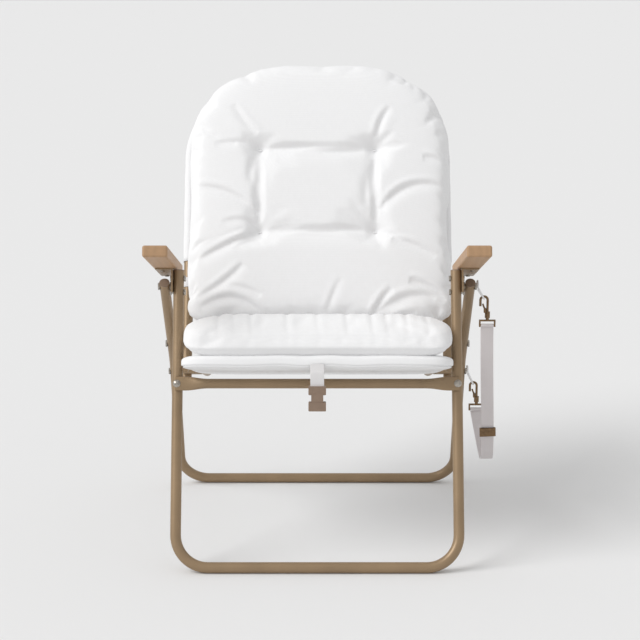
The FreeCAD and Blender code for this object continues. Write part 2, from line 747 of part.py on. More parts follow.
# Back sling: a sleeve over the arch with its cloth stretched across the front.
sling_from = D["sling_start"] - below
cloth = D["sling_thick"]
sleeve_in = rad + 0.2
sleeve_out = sleeve_in + cloth
sling_reach = D["back_length"] - D["sling_start"]
sleeve = bent_tube("SlingSleeve", D["back_half"], sling_reach, D["back_bend"], (sleeve_out, sleeve_in))
place(sleeve, (0.0, *on_back(sling_from)), X_AXIS, back_turn)
sheet_body = doc.addObject("PartDesign::Body", "SlingCloth")
sheet_path = sketch_in(sheet_body, "SlingCloth_outline", "XZ_Plane")
half_back = D["back_half"]
sling_corners = [(half_back, 0.0), (half_back, sling_reach), (-half_back, sling_reach), (-half_back, 0.0)]
rounded_path(sheet_path, sling_corners, D["back_bend"])
hem = sheet_path.addGeometry(Part.LineSegment(V(-half_back.value, 0, 0), V(half_back.value, 0, 0)), False)
sheet_path.addConstraint(Sketcher.Constraint("Coincident", hem, 1, 4, 2))
sheet_path.addConstraint(Sketcher.Constraint("Coincident", hem, 2, 0, 1))
doc.recompute()
sheet_pad = sheet_body.newObject("PartDesign::Pad", "SlingCloth_pad")
sheet_pad.Profile = sheet_path
bind(sheet_pad, "Length", cloth)
sheet_body.Tip = sheet_pad
place(sheet_body, (0.0, *on_back(sling_from, sleeve_in)), X_AXIS, back_turn)
finish(joined("BackSling", [sleeve, sheet_body]), "back_sling")

# Tie bands: webbing loops that hold the cushion to the bare part of the back tubes.
bands = []
for hand in SIDES:
    where = (D["back_half"] * hand, *on_back(117.0))
    outer = rod("BandOuter", rad + 1.7, 20.0, where, X_AXIS, back_turn)
    inner = rod("BandInner", rad + 0.2, 24.0, (D["back_half"] * hand, *on_back(115.0)), X_AXIS, back_turn)
    bands.append(minus("TieBand", outer, inner))
finish(grouped("TieBands", bands), "cushion_tie_bands")

# Cushions: lofts across the chair through side sections, pinched along rows and columns of tufting.
TUFT_X = 117.0


def pinch(x):
    """How strongly the tufting columns draw the cushion in at x."""
    return math.exp(-(((abs(x) - TUFT_X) / 26.0) ** 2))


def crown(x, half):
    """Relative thickness of a cushion across its width."""
    return 0.42 + 0.58 * math.sqrt(max(0.0, 1.0 - (abs(x) / half) ** 4))


def cushion_section(x, rows, low, high, thick, point):
    """A closed side section: flat back, rounded ends and one swell between each two rows."""
    ends = 0.5 * thick
    inset = min(0.3 * thick, 18.0)
    swell = thick * (1.0 - 0.14 * pinch(x))
    valley = thick * (0.74 - 0.16 * pinch(x))
    marks = [(low + inset, 0.72 * thick)]
    marks += [(row, valley) for row in rows]
    marks += [(high - inset, 0.72 * thick)]
    edges = [Part.makeLine(point(x, low, 0.0), point(x, high, 0.0))]
    edges.append(Part.Arc(point(x, high, 0.0), point(x, high + 0.18 * thick, 0.42 * thick),
                          point(x, *marks[-1])).toShape())
    for after, before in zip(marks[::-1], marks[-2::-1]):
        middle = ((after[0] + before[0]) / 2, swell)
        edges.append(Part.Arc(point(x, *after), point(x, *middle), point(x, *before)).toShape())
    edges.append(Part.Arc(point(x, *marks[0]), point(x, low - 0.18 * thick, 0.42 * thick),
                          point(x, low, 0.0)).toShape())
    return Part.Wire(edges)


def cushion(half, thick, rows, low, high_at, point):
    """A tufted cushion lofted from one side to the other."""
    spots = [0.97, 0.88, 0.72, 0.55, TUFT_X / half, 0.3, 0.15]
    across = [-f * half for f in spots] + [0.0] + [f * half for f in spots[::-1]]
    sections = []
    for x in across:
        high = high_at(x)
        reach = [low + (row - low) * min(1.0, (high - low) / (high_at(0.0) - low) + 0.12) for row in rows]
        sections.append(cushion_section(x, reach, low, high, thick * crown(x, half), point))
    return Part.makeLoft(sections, True, True)


def seat_point(x, along, above):
    return at(x, on_seat(along, above + D["pad_thick"].value / 2 + 0.3))


def back_point(x, along, ahead):
    return at(x, on_back(along, ahead + rad.value + 2.2))


seat_low = 96.0
seat_high = D["seat_length"].value + 4.0
arch_base = D["arch_base"].value
arch_rise = D["back_cushion_top"].value - arch_base
cushion_half = D["back_cushion_half"].value


def arch(x):
    """Height of the back cushion's rounded top at x."""
    return arch_base + arch_rise * math.sqrt(max(0.0, 1.0 - (x / cushion_half) ** 2))


seat_pad = cushion(D["seat_cushion_half"].value, D["seat_cushion_thick"].value, [255.0],
                   seat_low, lambda x: seat_high, seat_point)
finish(shaped("SeatCushion", seat_pad), "seat_cushion")
back_pad = cushion(cushion_half, D["back_cushion_thick"].value, [215.0, 400.0],
                   D["back_cushion_low"].value, arch, back_point)
finish(shaped("BackCushion", back_pad), "back_cushion")

# Closure webbing and buckle socket that hang from the middle of the seat's front edge.
band_half = 12.5


def flat_strap(points, bends, width, deep):
    """A flat strap along a path in a plane across which its width lies."""
    wire = rounded_wire(points, bends)
    run = (points[1] - points[0]).normalize()
    across = X_AXIS * (width / 2)
    out = run.cross(X_AXIS).normalize() * (deep / 2)
    start = points[0]
    ring = [start + across + out, start + across - out, start - across - out, start - across + out]
    profile = Part.makePolygon(ring + [ring[0]])
    return wire.makePipeShell([profile], True, False)


tab_face = D["seat_length"].value + 19.0 + 1.0
tab_top = at(0.0, on_seat(tab_face, 5.0))
tab_turn = at(0.0, on_seat(tab_face, -14.0))
buckle_y = tab_turn.y - 4.0
tab_low = V(0, buckle_y, tab_turn.z - 34.0)
tab_knee = V(0, buckle_y, tab_turn.z - 8.0)
tab = flat_strap([tab_top, tab_turn, tab_knee, tab_low], [4.0, 4.0], 2 * band_half, 1.6)
finish(shaped("BuckleWebbing", tab), "buckle_webbing")

socket_top = tab_low.z + 4.0
socket_low = socket_top - 46.0
socket_half = 16.0
socket_deep = 6.0


def block(half, deep, low, high, rounding=0.0):
    """A block of the buckle about its middle, with the corners of its face rounded."""
    solid = Part.makeBox(2 * half, 2 * deep, high - low, V(-half, buckle_y - deep, low))
    if rounding:
        solid = solid.makeFillet(rounding, [e for e in solid.Edges if abs(e.tangentAt(0.1).y) > 0.9])
    return solid


mouth = block(socket_half, socket_deep, socket_low, socket_low + 16.0, 2.0)
waist = block(socket_half - 5.0, socket_deep - 0.8, socket_low + 14.0, socket_low + 32.0)
yoke = block(socket_half, socket_deep - 1.2, socket_low + 30.0, socket_top, 2.0)
socket = mouth.multiFuse([waist, yoke]).removeSplitter()
socket = socket.cut(block(band_half - 2.0, 3.0, socket_low - 1.0, socket_low + 24.0))
socket = socket.cut(block(band_half + 0.3, 1.0, socket_top - 12.0, socket_top + 1.0))
finish(shaped("BuckleSocket", socket), "buckle_socket")

# Carrying strap on the right side: cord loops, snap hooks, webbing and a slider.
strap_x = D["strap_x"].value
cord = D["cord_rad"].value
wire_rad = D["hook_rad"].value
outer_x = (leg_out + 3.1).value
eye_rad = 1.6
eye_drop = 27.5


def snap_hook(x, y, z):
    """A snap hook hanging at x, y with its barrel top at height z: body and gate."""
    bow = [V(x, y, z - 2.0), V(x, y, z + 30.0), V(x - 14.0, y, z + 30.0), V(x - 14.0, y, z + 11.0)]
    body = round_bar(bow, [6.9, 6.9], wire_rad)
    barrel = Part.makeCylinder(5.0, 12.0, V(x, y, z - 12.0))
    collar = Part.makeCylinder(3.2, 4.0, V(x, y, z - 16.0))
    eye = Part.makeBox(32.0, 5.0, 14.0, V(x - 16.0, y - 2.5, z - 30.0))
    window = Part.makeBox(26.0, 9.0, 12.0, V(x - 13.0, y - 4.5, z - 31.0))
    bar = Part.makeCylinder(eye_rad, 28.0, V(x - 14.0, y, z - eye_drop), X_AXIS)
    ears = [Part.makeBox(4.4, 1.2, 9.0, V(x - 7.2, y + side_y, z - 2.0)) for side_y in (-3.4, 2.2)]
    foot = Part.makeBox(4.4, 6.8, 2.0, V(x - 7.2, y - 3.4, z - 2.0))
    axle = Part.makeCylinder(0.8, 6.4, V(x - 5.0, y - 3.2, z + 4.0), Y_AXIS)
    solid = body.multiFuse([barrel, collar, eye, foot] + ears).cut(window)
    solid = solid.multiFuse([bar, axle]).removeSplitter()
    root = V(x - 5.0, y, z + 4.0)
    tip = V(x - 9.5, y, z + 15.5)
    gate = Part.makeCylinder(1.7, (tip - root).Length, root, tip - root)
    gate = gate.fuse(Part.makeCylinder(1.9, 3.6, root - Y_AXIS * 1.8, Y_AXIS))
    gate = gate.cut(Part.makeCylinder(0.86, 6.0, root - Y_AXIS * 3.0, Y_AXIS)).removeSplitter()
    return solid, gate


upper_eye = at(0.0, LEG_PIVOT)
lower_eye = at(0.0, SEAT_PIVOT)
upper_z = upper_eye.z - 50.0
lower_z = lower_eye.z - 54.0
hook_x = strap_x - 2.0
upper_y = upper_eye.y
lower_y = lower_eye.y
for word, hook_y, hook_z in (("upper", upper_y, upper_z), ("lower", lower_y, lower_z)):
    hook, gate = snap_hook(hook_x, hook_y, hook_z)
    finish(shaped(f"{word.title()}Hook", hook), f"{word}_snap_hook")
    finish(shaped(f"{word.title()}Gate", gate), f"{word}_hook_gate")

cord_hang = 4.0
for word, eye_at, hook_z in (("upper", upper_eye, upper_z), ("lower", lower_eye, lower_z)):
    loop_low = hook_z + 30.0 - wire_rad - cord - 0.15
    near = outer_x + cord + 0.1
    bow_x = hook_x - 7.0
    loop = [
        V(near, eye_at.y - 9.0, eye_at.z - 2.0),
        V(near, eye_at.y - 9.0, eye_at.z + 10.5),
        V(near, eye_at.y + 9.0, eye_at.z + 10.5),
        V(near, eye_at.y + 9.0, eye_at.z - 2.0),
        V(bow_x, eye_at.y + 7.0, loop_low),
        V(bow_x, eye_at.y - 7.0, loop_low),
        V(near, eye_at.y - 9.0, eye_at.z - 4.5),
    ]
    finish(shaped(f"{word.title()}Cord", round_bar(loop, even_bends(loop), cord)), f"{word}_cord_loop")

strap_wide = D["strap_width"].value
strap_deep = D["strap_thick"].value
strap_swing = D["strap_swing"].value
strap_run = [
    V(hook_x, upper_y, upper_z - eye_drop - 2.4),
    V(hook_x, upper_y + 4.0, upper_z - 60.0),
    V(hook_x + strap_swing, upper_y + 52.0, 108.0),
    V(hook_x + strap_swing, lower_y - 22.0, 118.0),
    V(hook_x, lower_y, lower_z - eye_drop - 2.4),
]
strap_bends = even_bends(strap_run)
print("strap bends", [round(b, 1) for b in strap_bends])
strap_wire = rounded_wire(strap_run, strap_bends)
print("strap length", round(strap_wire.Length, 1))
strap = flat_strap(strap_run, strap_bends, strap_wide, strap_deep)
loops = []
for loop_y, loop_z in ((upper_y, upper_z), (lower_y, lower_z)):
    loop_at = V(hook_x - strap_wide / 2, loop_y, loop_z - eye_drop)
    loops.append(Part.makeCylinder(eye_rad + 0.15 + strap_deep, strap_wide, loop_at, X_AXIS))
strap = strap.multiFuse(loops)
for loop_y, loop_z in ((upper_y, upper_z), (lower_y, lower_z)):
    loop_at = V(hook_x - strap_wide / 2 - 1.0, loop_y, loop_z - eye_drop)
    strap = strap.cut(Part.makeCylinder(eye_rad + 0.15, strap_wide + 2.0, loop_at, X_AXIS))
finish(shaped("StrapWebbing", strap.removeSplitter()), "strap_webbing")

slide_way = (strap_run[2] - strap_run[1]).normalize()
slide_middle = strap_run[1] + slide_way * D["slider_drop"].value
slider = Part.makeBox(32.0, 5.0, 18.0, V(-16.0, -2.5, -9.0))
slider = slider.cut(Part.makeBox(strap_wide + 0.8, strap_deep + 0.8, 24.0,
                                 V(-strap_wide / 2 - 0.4, -strap_deep / 2 - 0.4, -12.0)))
slider_tilt = FreeCAD.Rotation(X_AXIS, Y_AXIS, slide_way * -1.0, "ZXY")
slider_part = shaped("StrapSlider", slider)
slider_part.Placement = FreeCAD.Placement(slide_middle, slider_tilt)
finish(slider_part, "strap_slider")

doc.recompute()
faults = []
for obj in doc.Objects:
    if "Invalid" in obj.State or "Error" in obj.State:
        faults.append(f"{obj.Name} {obj.State}")
for obj in PARTS:
    if obj.Shape.isNull() or not obj.Shape.isValid() or not obj.Shape.Solids:
        faults.append(f"{obj.Label} has no valid solid")
if faults:
    raise RuntimeError("; ".join(faults))
os.makedirs("parts", exist_ok=True)
for obj in PARTS:
    obj.Shape.exportStep(f"parts/{obj.Label}.step")
    size = obj.Shape.BoundBox
    print(f"{obj.Label:20s} {len(obj.Shape.Solids):2d} solids {size.XMin:7.1f} {size.XMax:7.1f} "
          f"{size.YMin:7.1f} {size.YMax:7.1f} {size.ZMin:7.1f} {size.ZMax:7.1f} {obj.Shape.Volume / 1000:9.2f}")
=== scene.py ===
import logging
import math
from dataclasses import dataclass
from dataclasses import field
from enum import Enum

import bmesh
import bpy
import numpy as np
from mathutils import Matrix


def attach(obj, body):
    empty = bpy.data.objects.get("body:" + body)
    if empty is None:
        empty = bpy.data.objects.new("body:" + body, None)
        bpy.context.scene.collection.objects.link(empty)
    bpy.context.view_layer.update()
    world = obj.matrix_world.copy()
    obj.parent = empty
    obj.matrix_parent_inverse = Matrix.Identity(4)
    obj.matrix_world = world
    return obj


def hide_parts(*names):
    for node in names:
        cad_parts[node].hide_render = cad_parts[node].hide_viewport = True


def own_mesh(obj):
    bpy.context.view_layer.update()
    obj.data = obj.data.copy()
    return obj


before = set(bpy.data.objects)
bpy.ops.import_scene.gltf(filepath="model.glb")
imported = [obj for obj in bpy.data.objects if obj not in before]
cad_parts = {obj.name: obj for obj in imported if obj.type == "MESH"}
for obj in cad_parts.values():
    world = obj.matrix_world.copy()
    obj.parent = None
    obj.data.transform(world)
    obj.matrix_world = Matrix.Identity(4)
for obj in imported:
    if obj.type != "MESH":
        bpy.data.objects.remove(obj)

Array = np.ndarray
Triple = tuple[float, float, float]
LOG = logging.getLogger("beach_chair")
MM = 0.001
ACROSS = (1.0, 0.0, 0.0)
# Depth of the front floor bar, from which the runs of the two planes are measured.
FRONT_BAR_Y = -320.8
# Distance between the bands of a wave texture of scale 1.
WAVE_STEP = 0.314


class Hand(Enum):
    """The two sides of the chair, seen from the front."""

    LEFT = -1.0
    RIGHT = 1.0


class Weave(Enum):
    """The cloths of the chair, by the size of their weave in millimetres."""

    CANVAS = 1.3
    RIBBED = 2.2


@dataclass(frozen=True)
class SidePlane:
    """A sloping plane of the chair, as seat or back, with its own coordinates in millimetres.

    Along runs over the plane from a pivot, and off stands square to it.
    """

    run: float
    rise: float
    along_run: float
    along_rise: float
    off_run: float
    off_rise: float

    def world(self, x: Array, along: Array, off: Array) -> Array:
        """Points of the chair in metres: pivot + along times its direction + off times the normal.

        Args:
            x: Distances to the right of the middle, in millimetres.
            along: Distances along the plane.
            off: Distances off the plane.

        Returns:
            An array of points, with x, y and z in its last place.
        """
        y = FRONT_BAR_Y + self.run + along * self.along_run + off * self.off_run
        z = self.rise + along * self.along_rise + off * self.off_rise
        return np.stack(np.broadcast_arrays(x, y, z), axis=-1) * MM

    def local(self, points: Array) -> Array:
        """The x, along and off in millimetres of points given in metres."""
        y = points[:, 1] / MM - FRONT_BAR_Y - self.run
        z = points[:, 2] / MM - self.rise
        along = y * self.along_run + z * self.along_rise
        off = y * self.off_run + z * self.off_rise
        return np.stack([points[:, 0] / MM, along, off], axis=-1)

    def normal(self) -> Triple:
        """The direction square to the plane."""
        return (0.0, self.off_run, self.off_rise)


def sloped(run: float, rise: float, degrees: float) -> SidePlane:
    """A plane that climbs forwards from its pivot by an angle, as the seat does."""
    c, s = math.cos(math.radians(degrees)), math.sin(math.radians(degrees))
    return SidePlane(run, rise, -c, s, s, c)


def leaning(run: float, rise: float, degrees: float) -> SidePlane:
    """A plane that leans back from upright by an angle, as the backrest does."""
    c, s = math.cos(math.radians(degrees)), math.sin(math.radians(degrees))
    return SidePlane(run, rise, s, c, -c, s)


SEAT = sloped(446.3, 276.4, 15.4)
BACK = leaning(395.0, 346.0, 25.0)


class NodeTree:
    """A material under construction, with short words for adding and joining its nodes."""

    def __init__(self, name: str) -> None:
        """Starts a material with one Principled shader.

        Args:
            name: The material's name.
        """
        self.material = bpy.data.materials.new(name)
        self.material.use_nodes = True
        self.nodes = self.material.node_tree.nodes
        self.links = self.material.node_tree.links
        self.shader = self.nodes["Principled BSDF"]
        self.coords = self.nodes.new("ShaderNodeTexCoord")

    def add(self, kind: str, **values: object) -> bpy.types.Node:
        """Adds a node and sets its input sockets or its own settings by name.

        Args:
            kind: The node's type, without the leading word ShaderNode.
            values: Socket names, with spaces as underscores, or settings, and their values.

        Returns:
            The new node.
        """
        node = self.nodes.new("ShaderNode" + kind)
        for word, value in values.items():
            socket = node.inputs.get(word.replace("_", " "))
            if socket is not None:
                socket.default_value = value
            else:
                setattr(node, word, value)
        return node

    def join(self, source: bpy.types.NodeSocket, target: bpy.types.NodeSocket) -> None:
        """Links two sockets."""
        self.links.new(source, target)

    def set(self, **values: object) -> None:
        """Sets input sockets of the shader by name, with spaces as underscores."""
        for word, value in values.items():
            self.shader.inputs[word.replace("_", " ")].default_value = value

    def texture(self, kind: str, place: bpy.types.NodeSocket | None = None,
                **values: object) -> bpy.types.NodeSocket:
        """Adds a texture.

        Args:
            kind: Noise or Wave.
            place: The coordinates that it reads, the piece's Object coordinates if none are given.
            values: Its sockets and settings, as for add.

        Returns:
            The socket of its value.
        """
        node = self.add("Tex" + kind, **values)
        self.join(self.coords.outputs["Object"] if place is None else place, node.inputs["Vector"])
        return node.outputs["Fac"]

    def maths(self, operation: str, *terms: bpy.types.NodeSocket | float) -> bpy.types.NodeSocket:
        """Adds a calculation.

        Args:
            operation: What is done with the terms.
            terms: Sockets or numbers, in order.

        Returns:
            The socket of the result.
        """
        node = self.add("Math", operation=operation)
        for socket, term in zip(node.inputs, terms):
            if isinstance(term, float):
                socket.default_value = term
            else:
                self.join(term, socket)
        return node.outputs["Value"]

    def placed(self, turn: Triple, scale: Triple,
               source: str = "Object") -> bpy.types.NodeSocket:
        """Texture coordinates of the piece, turned by degrees and scaled.

        Args:
            turn: Angles about x, y and z.
            scale: Factors along x, y and z.
            source: Which coordinates are read, Object or UV.

        Returns:
            The socket that gives the coordinates.
        """
        mapping = self.add("Mapping", Rotation=[math.radians(a) for a in turn], Scale=scale)
        self.join(self.coords.outputs[source], mapping.inputs["Vector"])
        return mapping.outputs["Vector"]

    def tinted(self, share: bpy.types.NodeSocket, colour: Triple, dark: tuple[float, float],
               light: tuple[float, float]) -> None:
        """Colours the shader between two tones of a colour, kept within white, as a texture rises.

        Args:
            share: The texture's value.
            colour: The colour.
            dark: The value that gives the dark tone, and that tone's share of the colour.
            light: The same for the light tone.
        """
        ramp = self.add("ValToRGB")
        for stop, (value, factor) in zip(ramp.color_ramp.elements, (dark, light)):
            stop.position = value
            stop.color = (*(min(1.0, c * factor) for c in colour), 1.0)
        self.join(share, ramp.inputs["Fac"])
        self.join(ramp.outputs["Color"], self.shader.inputs["Base Color"])

    def ranged(self, share: bpy.types.NodeSocket, low: float, high: float, socket: str) -> None:
        """Drives a shader socket between two values by a texture.

        Args:
            share: The texture's value, from 0 to 1.
            low: The socket's value at 0.
            high: The socket's value at 1.
            socket: The socket's name.
        """
        spread = self.add("MapRange", To_Min=low, To_Max=high)
        self.join(share, spread.inputs["Value"])
        self.join(spread.outputs["Result"], self.shader.inputs[socket])

    def bumped(self, heights: list[tuple[bpy.types.NodeSocket, float]], distance: float) -> None:
        """Adds bumps, one on top of the other, to the shader's normal.

        Args:
            heights: Pairs of a height texture and the strength of its bump.
            distance: The height in metres of a full bump.
        """
        before = None
        for height, strength in heights:
            bump = self.add("Bump", Strength=strength, Distance=distance)
            self.join(height, bump.inputs["Height"])
            if before is not None:
                self.join(before, bump.inputs["Normal"])
            before = bump.outputs["Normal"]
        self.join(before, self.shader.inputs["Normal"])


@dataclass(frozen=True)
class PowderCoat:
    """Baked metallic powder paint: fine flakes of tone, orange-peel bump and a satin gloss."""

    name: str
    colour: Triple
    metallic: float = 0.35
    roughness: float = 0.38

    def material(self) -> bpy.types.Material:
        """The paint as a material."""
        tree = NodeTree(self.name)
        flakes = tree.texture("Noise", Scale=2600.0, Detail=3.0, Roughness=0.6)
        drift = tree.texture("Noise", Scale=16.0, Detail=4.0)
        mixed = tree.maths("MULTIPLY", flakes, drift)
        tree.tinted(mixed, self.colour, (0.1, 0.86), (0.42, 1.12))
        tree.ranged(drift, self.roughness - 0.07, self.roughness + 0.1, "Roughness")
        peel = tree.texture("Noise", Scale=900.0, Detail=2.0)
        tree.bumped([(peel, 0.12)], 0.0004)
        tree.set(Metallic=self.metallic)
        return tree.material


@dataclass(frozen=True)
class OiledWood:
    """Light oiled hardwood: long grain, wavy growth lines and open pores."""

    name: str
    colour: Triple
    slope: float

    def material(self) -> bpy.types.Material:
        """The wood as a material, with its grain along the sloping armrest."""
        tree = NodeTree(self.name)
        along = tree.placed((self.slope, 0, 0), (1.0, 0.07, 1.0))
        grain = tree.texture("Noise", along, Scale=190.0, Detail=6.0, Roughness=0.62, Distortion=0.5)
        rings = tree.texture("Wave", along, Scale=22.0, Distortion=5.0, Detail=3.0, Detail_Scale=1.4)
        figure = tree.maths("MULTIPLY_ADD", grain, 0.78, tree.maths("MULTIPLY", rings, 0.22))
        tree.tinted(figure, self.colour, (0.2, 0.88), (0.8, 1.06))
        drawn_out = tree.placed((self.slope, 0, 0), (1.0, 0.03, 1.0))
        pores = tree.texture("Noise", drawn_out, Scale=700.0, Detail=2.0)
        tree.ranged(pores, 0.42, 0.62, "Roughness")
        tree.bumped([(grain, 0.25), (pores, 0.3)], 0.0006)
        return tree.material


@dataclass(frozen=True)
class WovenCloth:
    """Woven cloth: warp and weft as crossed waves, slubs of tone and a soft sheen."""

    name: str
    colour: Triple
    weave: Weave
    bump: float = 0.18

    def material(self) -> bpy.types.Material:
        """The cloth as a material, its weave on the piece's own coordinates."""
        tree = NodeTree(self.name)
        period = WAVE_STEP / (self.weave.value * MM)
        warp = tree.texture("Wave", Scale=period, Distortion=0.6, Detail=1.0)
        weft = tree.texture("Wave", tree.placed((45, 0, 90), (1, 1, 1)), Scale=period, Distortion=0.6, Detail=1.0)
        crossed = tree.maths("MAXIMUM", warp, weft)
        drawn_out = tree.placed((0, 0, 0), (1.0, 1.0, 0.25))
        slub = tree.texture("Noise", drawn_out, Scale=160.0, Detail=5.0, Roughness=0.7)
        mottle = tree.maths("MULTIPLY_ADD", crossed, 0.35, tree.maths("MULTIPLY", slub, 0.65))
        tree.tinted(mottle, self.colour, (0.2, 0.965), (0.75, 1.01))
        puckers = tree.texture("Noise", Scale=38.0, Detail=4.0)
        tree.bumped([(puckers, 0.1), (crossed, self.bump)], 0.0006)
        tree.set(Roughness=0.86, Sheen_Weight=0.12, Sheen_Roughness=0.5)
        return tree.material


@dataclass(frozen=True)
class RibbedWebbing:
    """Flat webbing: ribs along its length and a slanting weft, each so many millimetres apart."""

    name: str
    colour: Triple
    rib: float = 1.6
    weft: float = 1.1

    def material(self) -> bpy.types.Material:
        """The webbing as a material on the strap's UV map, in millimetres across and along."""
        tree = NodeTree(self.name)
        ribs = tree.texture("Wave", tree.coords.outputs["UV"], Scale=WAVE_STEP / self.rib, Distortion=0.3)
        slanted = tree.placed((0, 0, 70), (1, 1, 1), "UV")
        weft = tree.texture("Wave", slanted, Scale=WAVE_STEP / self.weft, Distortion=0.6)
        height = tree.maths("MULTIPLY", ribs, weft)
        tree.tinted(height, self.colour, (0.0, 0.9), (0.9, 1.02))
        tree.bumped([(height, 0.35)], 0.0008)
        tree.set(Roughness=0.8, Sheen_Weight=0.1)
        return tree.material


@dataclass(frozen=True)
class CastMetal:
    """Die-cast or turned metal: cloudy patina, fine scratches and brighter rubbed places."""

    name: str
    colour: Triple
    metallic: float = 0.9
    roughness: float = 0.36

    def material(self) -> bpy.types.Material:
        """The metal as a material."""
        tree = NodeTree(self.name)
        patina = tree.texture("Noise", Scale=240.0, Detail=6.0, Roughness=0.65)
        tree.tinted(patina, self.colour, (0.3, 0.72), (0.68, 1.3))
        tree.ranged(patina, self.roughness + 0.14, self.roughness - 0.1, "Roughness")
        drawn_out = tree.placed((20, 0, 30), (1.0, 0.06, 1.0))
        scratches = tree.texture("Noise", drawn_out, Scale=900.0, Detail=2.0)
        tree.bumped([(scratches, 0.1)], 0.0003)
        tree.set(Metallic=self.metallic)
        return tree.material


@dataclass(frozen=True)
class MouldedPlastic:
    """Moulded plastic: spark-eroded grain, faint flow marks and a dull gloss."""

    name: str
    colour: Triple
    roughness: float = 0.5

    def material(self) -> bpy.types.Material:
        """The plastic as a material."""
        tree = NodeTree(self.name)
        flow = tree.texture("Noise", Scale=70.0, Detail=3.0, Distortion=0.8)
        tree.tinted(flow, self.colour, (0.3, 0.93), (0.7, 1.06))
        grain = tree.texture("Noise", Scale=1500.0, Detail=2.0)
        tree.ranged(grain, self.roughness - 0.06, self.roughness + 0.1, "Roughness")
        tree.bumped([(grain, 0.18)], 0.0003)
        return tree.material


@dataclass
class Palette:
    """All finishes of the chair, each made into a material once."""

    paint: PowderCoat = PowderCoat("bronze_powder_coat", (0.31, 0.215, 0.125))
    wood: OiledWood = OiledWood("oiled_beech", (0.43, 0.262, 0.142), -15.5)
    canvas: WovenCloth = WovenCloth("white_canvas", (0.85, 0.85, 0.855), Weave.CANVAS)
    sling: WovenCloth = WovenCloth("white_sling_cloth", (0.84, 0.84, 0.845), Weave.RIBBED, 0.3)
    webbing: RibbedWebbing = RibbedWebbing("white_webbing", (0.8, 0.785, 0.785))
    # The strap is the same white webbing as the tie bands and the buckle tab, painted darker as shade where it
    # hangs beside the chair.
    strap: RibbedWebbing = RibbedWebbing("white_webbing_painted_shade", (0.745, 0.7, 0.7))
    hardware: CastMetal = CastMetal("aged_bronze", (0.2, 0.128, 0.07))
    steel: CastMetal = CastMetal("plated_steel", (0.4, 0.37, 0.33), 0.95, 0.32)
    buckle: MouldedPlastic = MouldedPlastic("brown_acetal", (0.25, 0.175, 0.125))
    nylon: MouldedPlastic = MouldedPlastic("grey_nylon", (0.3, 0.24, 0.17), 0.42)
    made: dict[str, bpy.types.Material] = field(default_factory=dict)

    def get(self, word: str) -> bpy.types.Material:
        """The material of a finish, made when first asked for.

        Args:
            word: The finish's name in this palette.

        Returns:
            The material.
        """
        if word not in self.made:
            self.made[word] = getattr(self, word).material()
        return self.made[word]


def around(count: int) -> Array:
    """Angles of so many even steps round a full turn."""
    return np.linspace(0.0, 2.0 * np.pi, count, endpoint=False)


def grid_faces(rows: int, columns: int, closed: bool) -> Array:
    """Four-cornered faces of a grid of points, row by row.

    Args:
        rows: How many rows of points there are.
        columns: How many points a row has.
        closed: Whether each row runs round to its own start.

    Returns:
        An array of point numbers, four to a face.
    """
    step = columns if closed else columns - 1
    r, c = np.meshgrid(np.arange(rows - 1), np.arange(step), indexing="ij")
    near, far = r * columns, (r + 1) * columns
    nxt = (c + 1) % columns
    return np.stack([near + c, near + nxt, far + nxt, far + c], -1).reshape(-1, 4)


def capped_faces(rows: int, columns: int) -> list[list[int]]:
    """Faces of a tube of points, row by row, with one face over each of its ends.

    Args:
        rows: How many rings of points there are.
        columns: How many points a ring has.

    Returns:
        The point numbers of the faces.
    """
    first = list(range(columns))
    last = [(rows - 1) * columns + i for i in first]
    return [*grid_faces(rows, columns, True).tolist(), first[::-1], last]


def in_scene(name: str, data: bpy.types.ID) -> bpy.types.Object:
    """A new object of a mesh, curve, light or camera, in the scene."""
    obj = bpy.data.objects.new(name, data)
    bpy.context.scene.collection.objects.link(obj)
    return obj


def mesh_object(name: str, points: Array, faces: list[list[int]],
                uv: Array | None = None) -> bpy.types.Object:
    """A smooth-shaded mesh object at the origin.

    Args:
        name: The piece's name.
        points: Its points in metres.
        faces: The point numbers of its faces.
        uv: Places of the points on the piece's map, if it has one.

    Returns:
        The object, in the scene.
    """
    mesh = bpy.data.meshes.new(name)
    mesh.from_pydata(points.reshape(-1, 3).tolist(), [], faces)
    if uv is not None:
        layer = mesh.uv_layers.new(name="UVMap")
        corner = np.zeros(len(mesh.loops), np.int32)
        mesh.loops.foreach_get("vertex_index", corner)
        layer.data.foreach_set("uv", uv[corner].astype(np.float32).ravel())
    mesh.polygons.foreach_set("use_smooth", np.ones(len(mesh.polygons), bool))
    mesh.update()
    return in_scene(name, mesh)


def points_of(mesh: bpy.types.Mesh) -> Array:
    """The points of a mesh as an array."""
    points = np.zeros(len(mesh.vertices) * 3)
    mesh.vertices.foreach_get("co", points)
    return points.reshape(-1, 3)


def move_points(mesh: bpy.types.Mesh, points: Array) -> None:
    """Puts the points of a mesh at new places."""
    mesh.vertices.foreach_set("co", points.astype(np.float32).ravel())
    mesh.update()


def apply_modifiers(obj: bpy.types.Object) -> None:
    """Makes an object's modifiers part of its mesh, smooth all over."""
    graph = bpy.context.evaluated_depsgraph_get()
    mesh = bpy.data.meshes.new_from_object(obj.evaluated_get(graph))
    obj.modifiers.clear()
    obj.data = mesh
    mesh.polygons.foreach_set("use_smooth", np.ones(len(mesh.polygons), bool))
    mesh.update()


def soften(obj: bpy.types.Object, times: int) -> None:
    """Evens an object's mesh out a little.

    Args:
        obj: The object.
        times: How often each point moves towards its neighbours.
    """
    smooth = obj.modifiers.new("soft", "SMOOTH")
    smooth.factor = 0.5
    smooth.iterations = times
    apply_modifiers(obj)


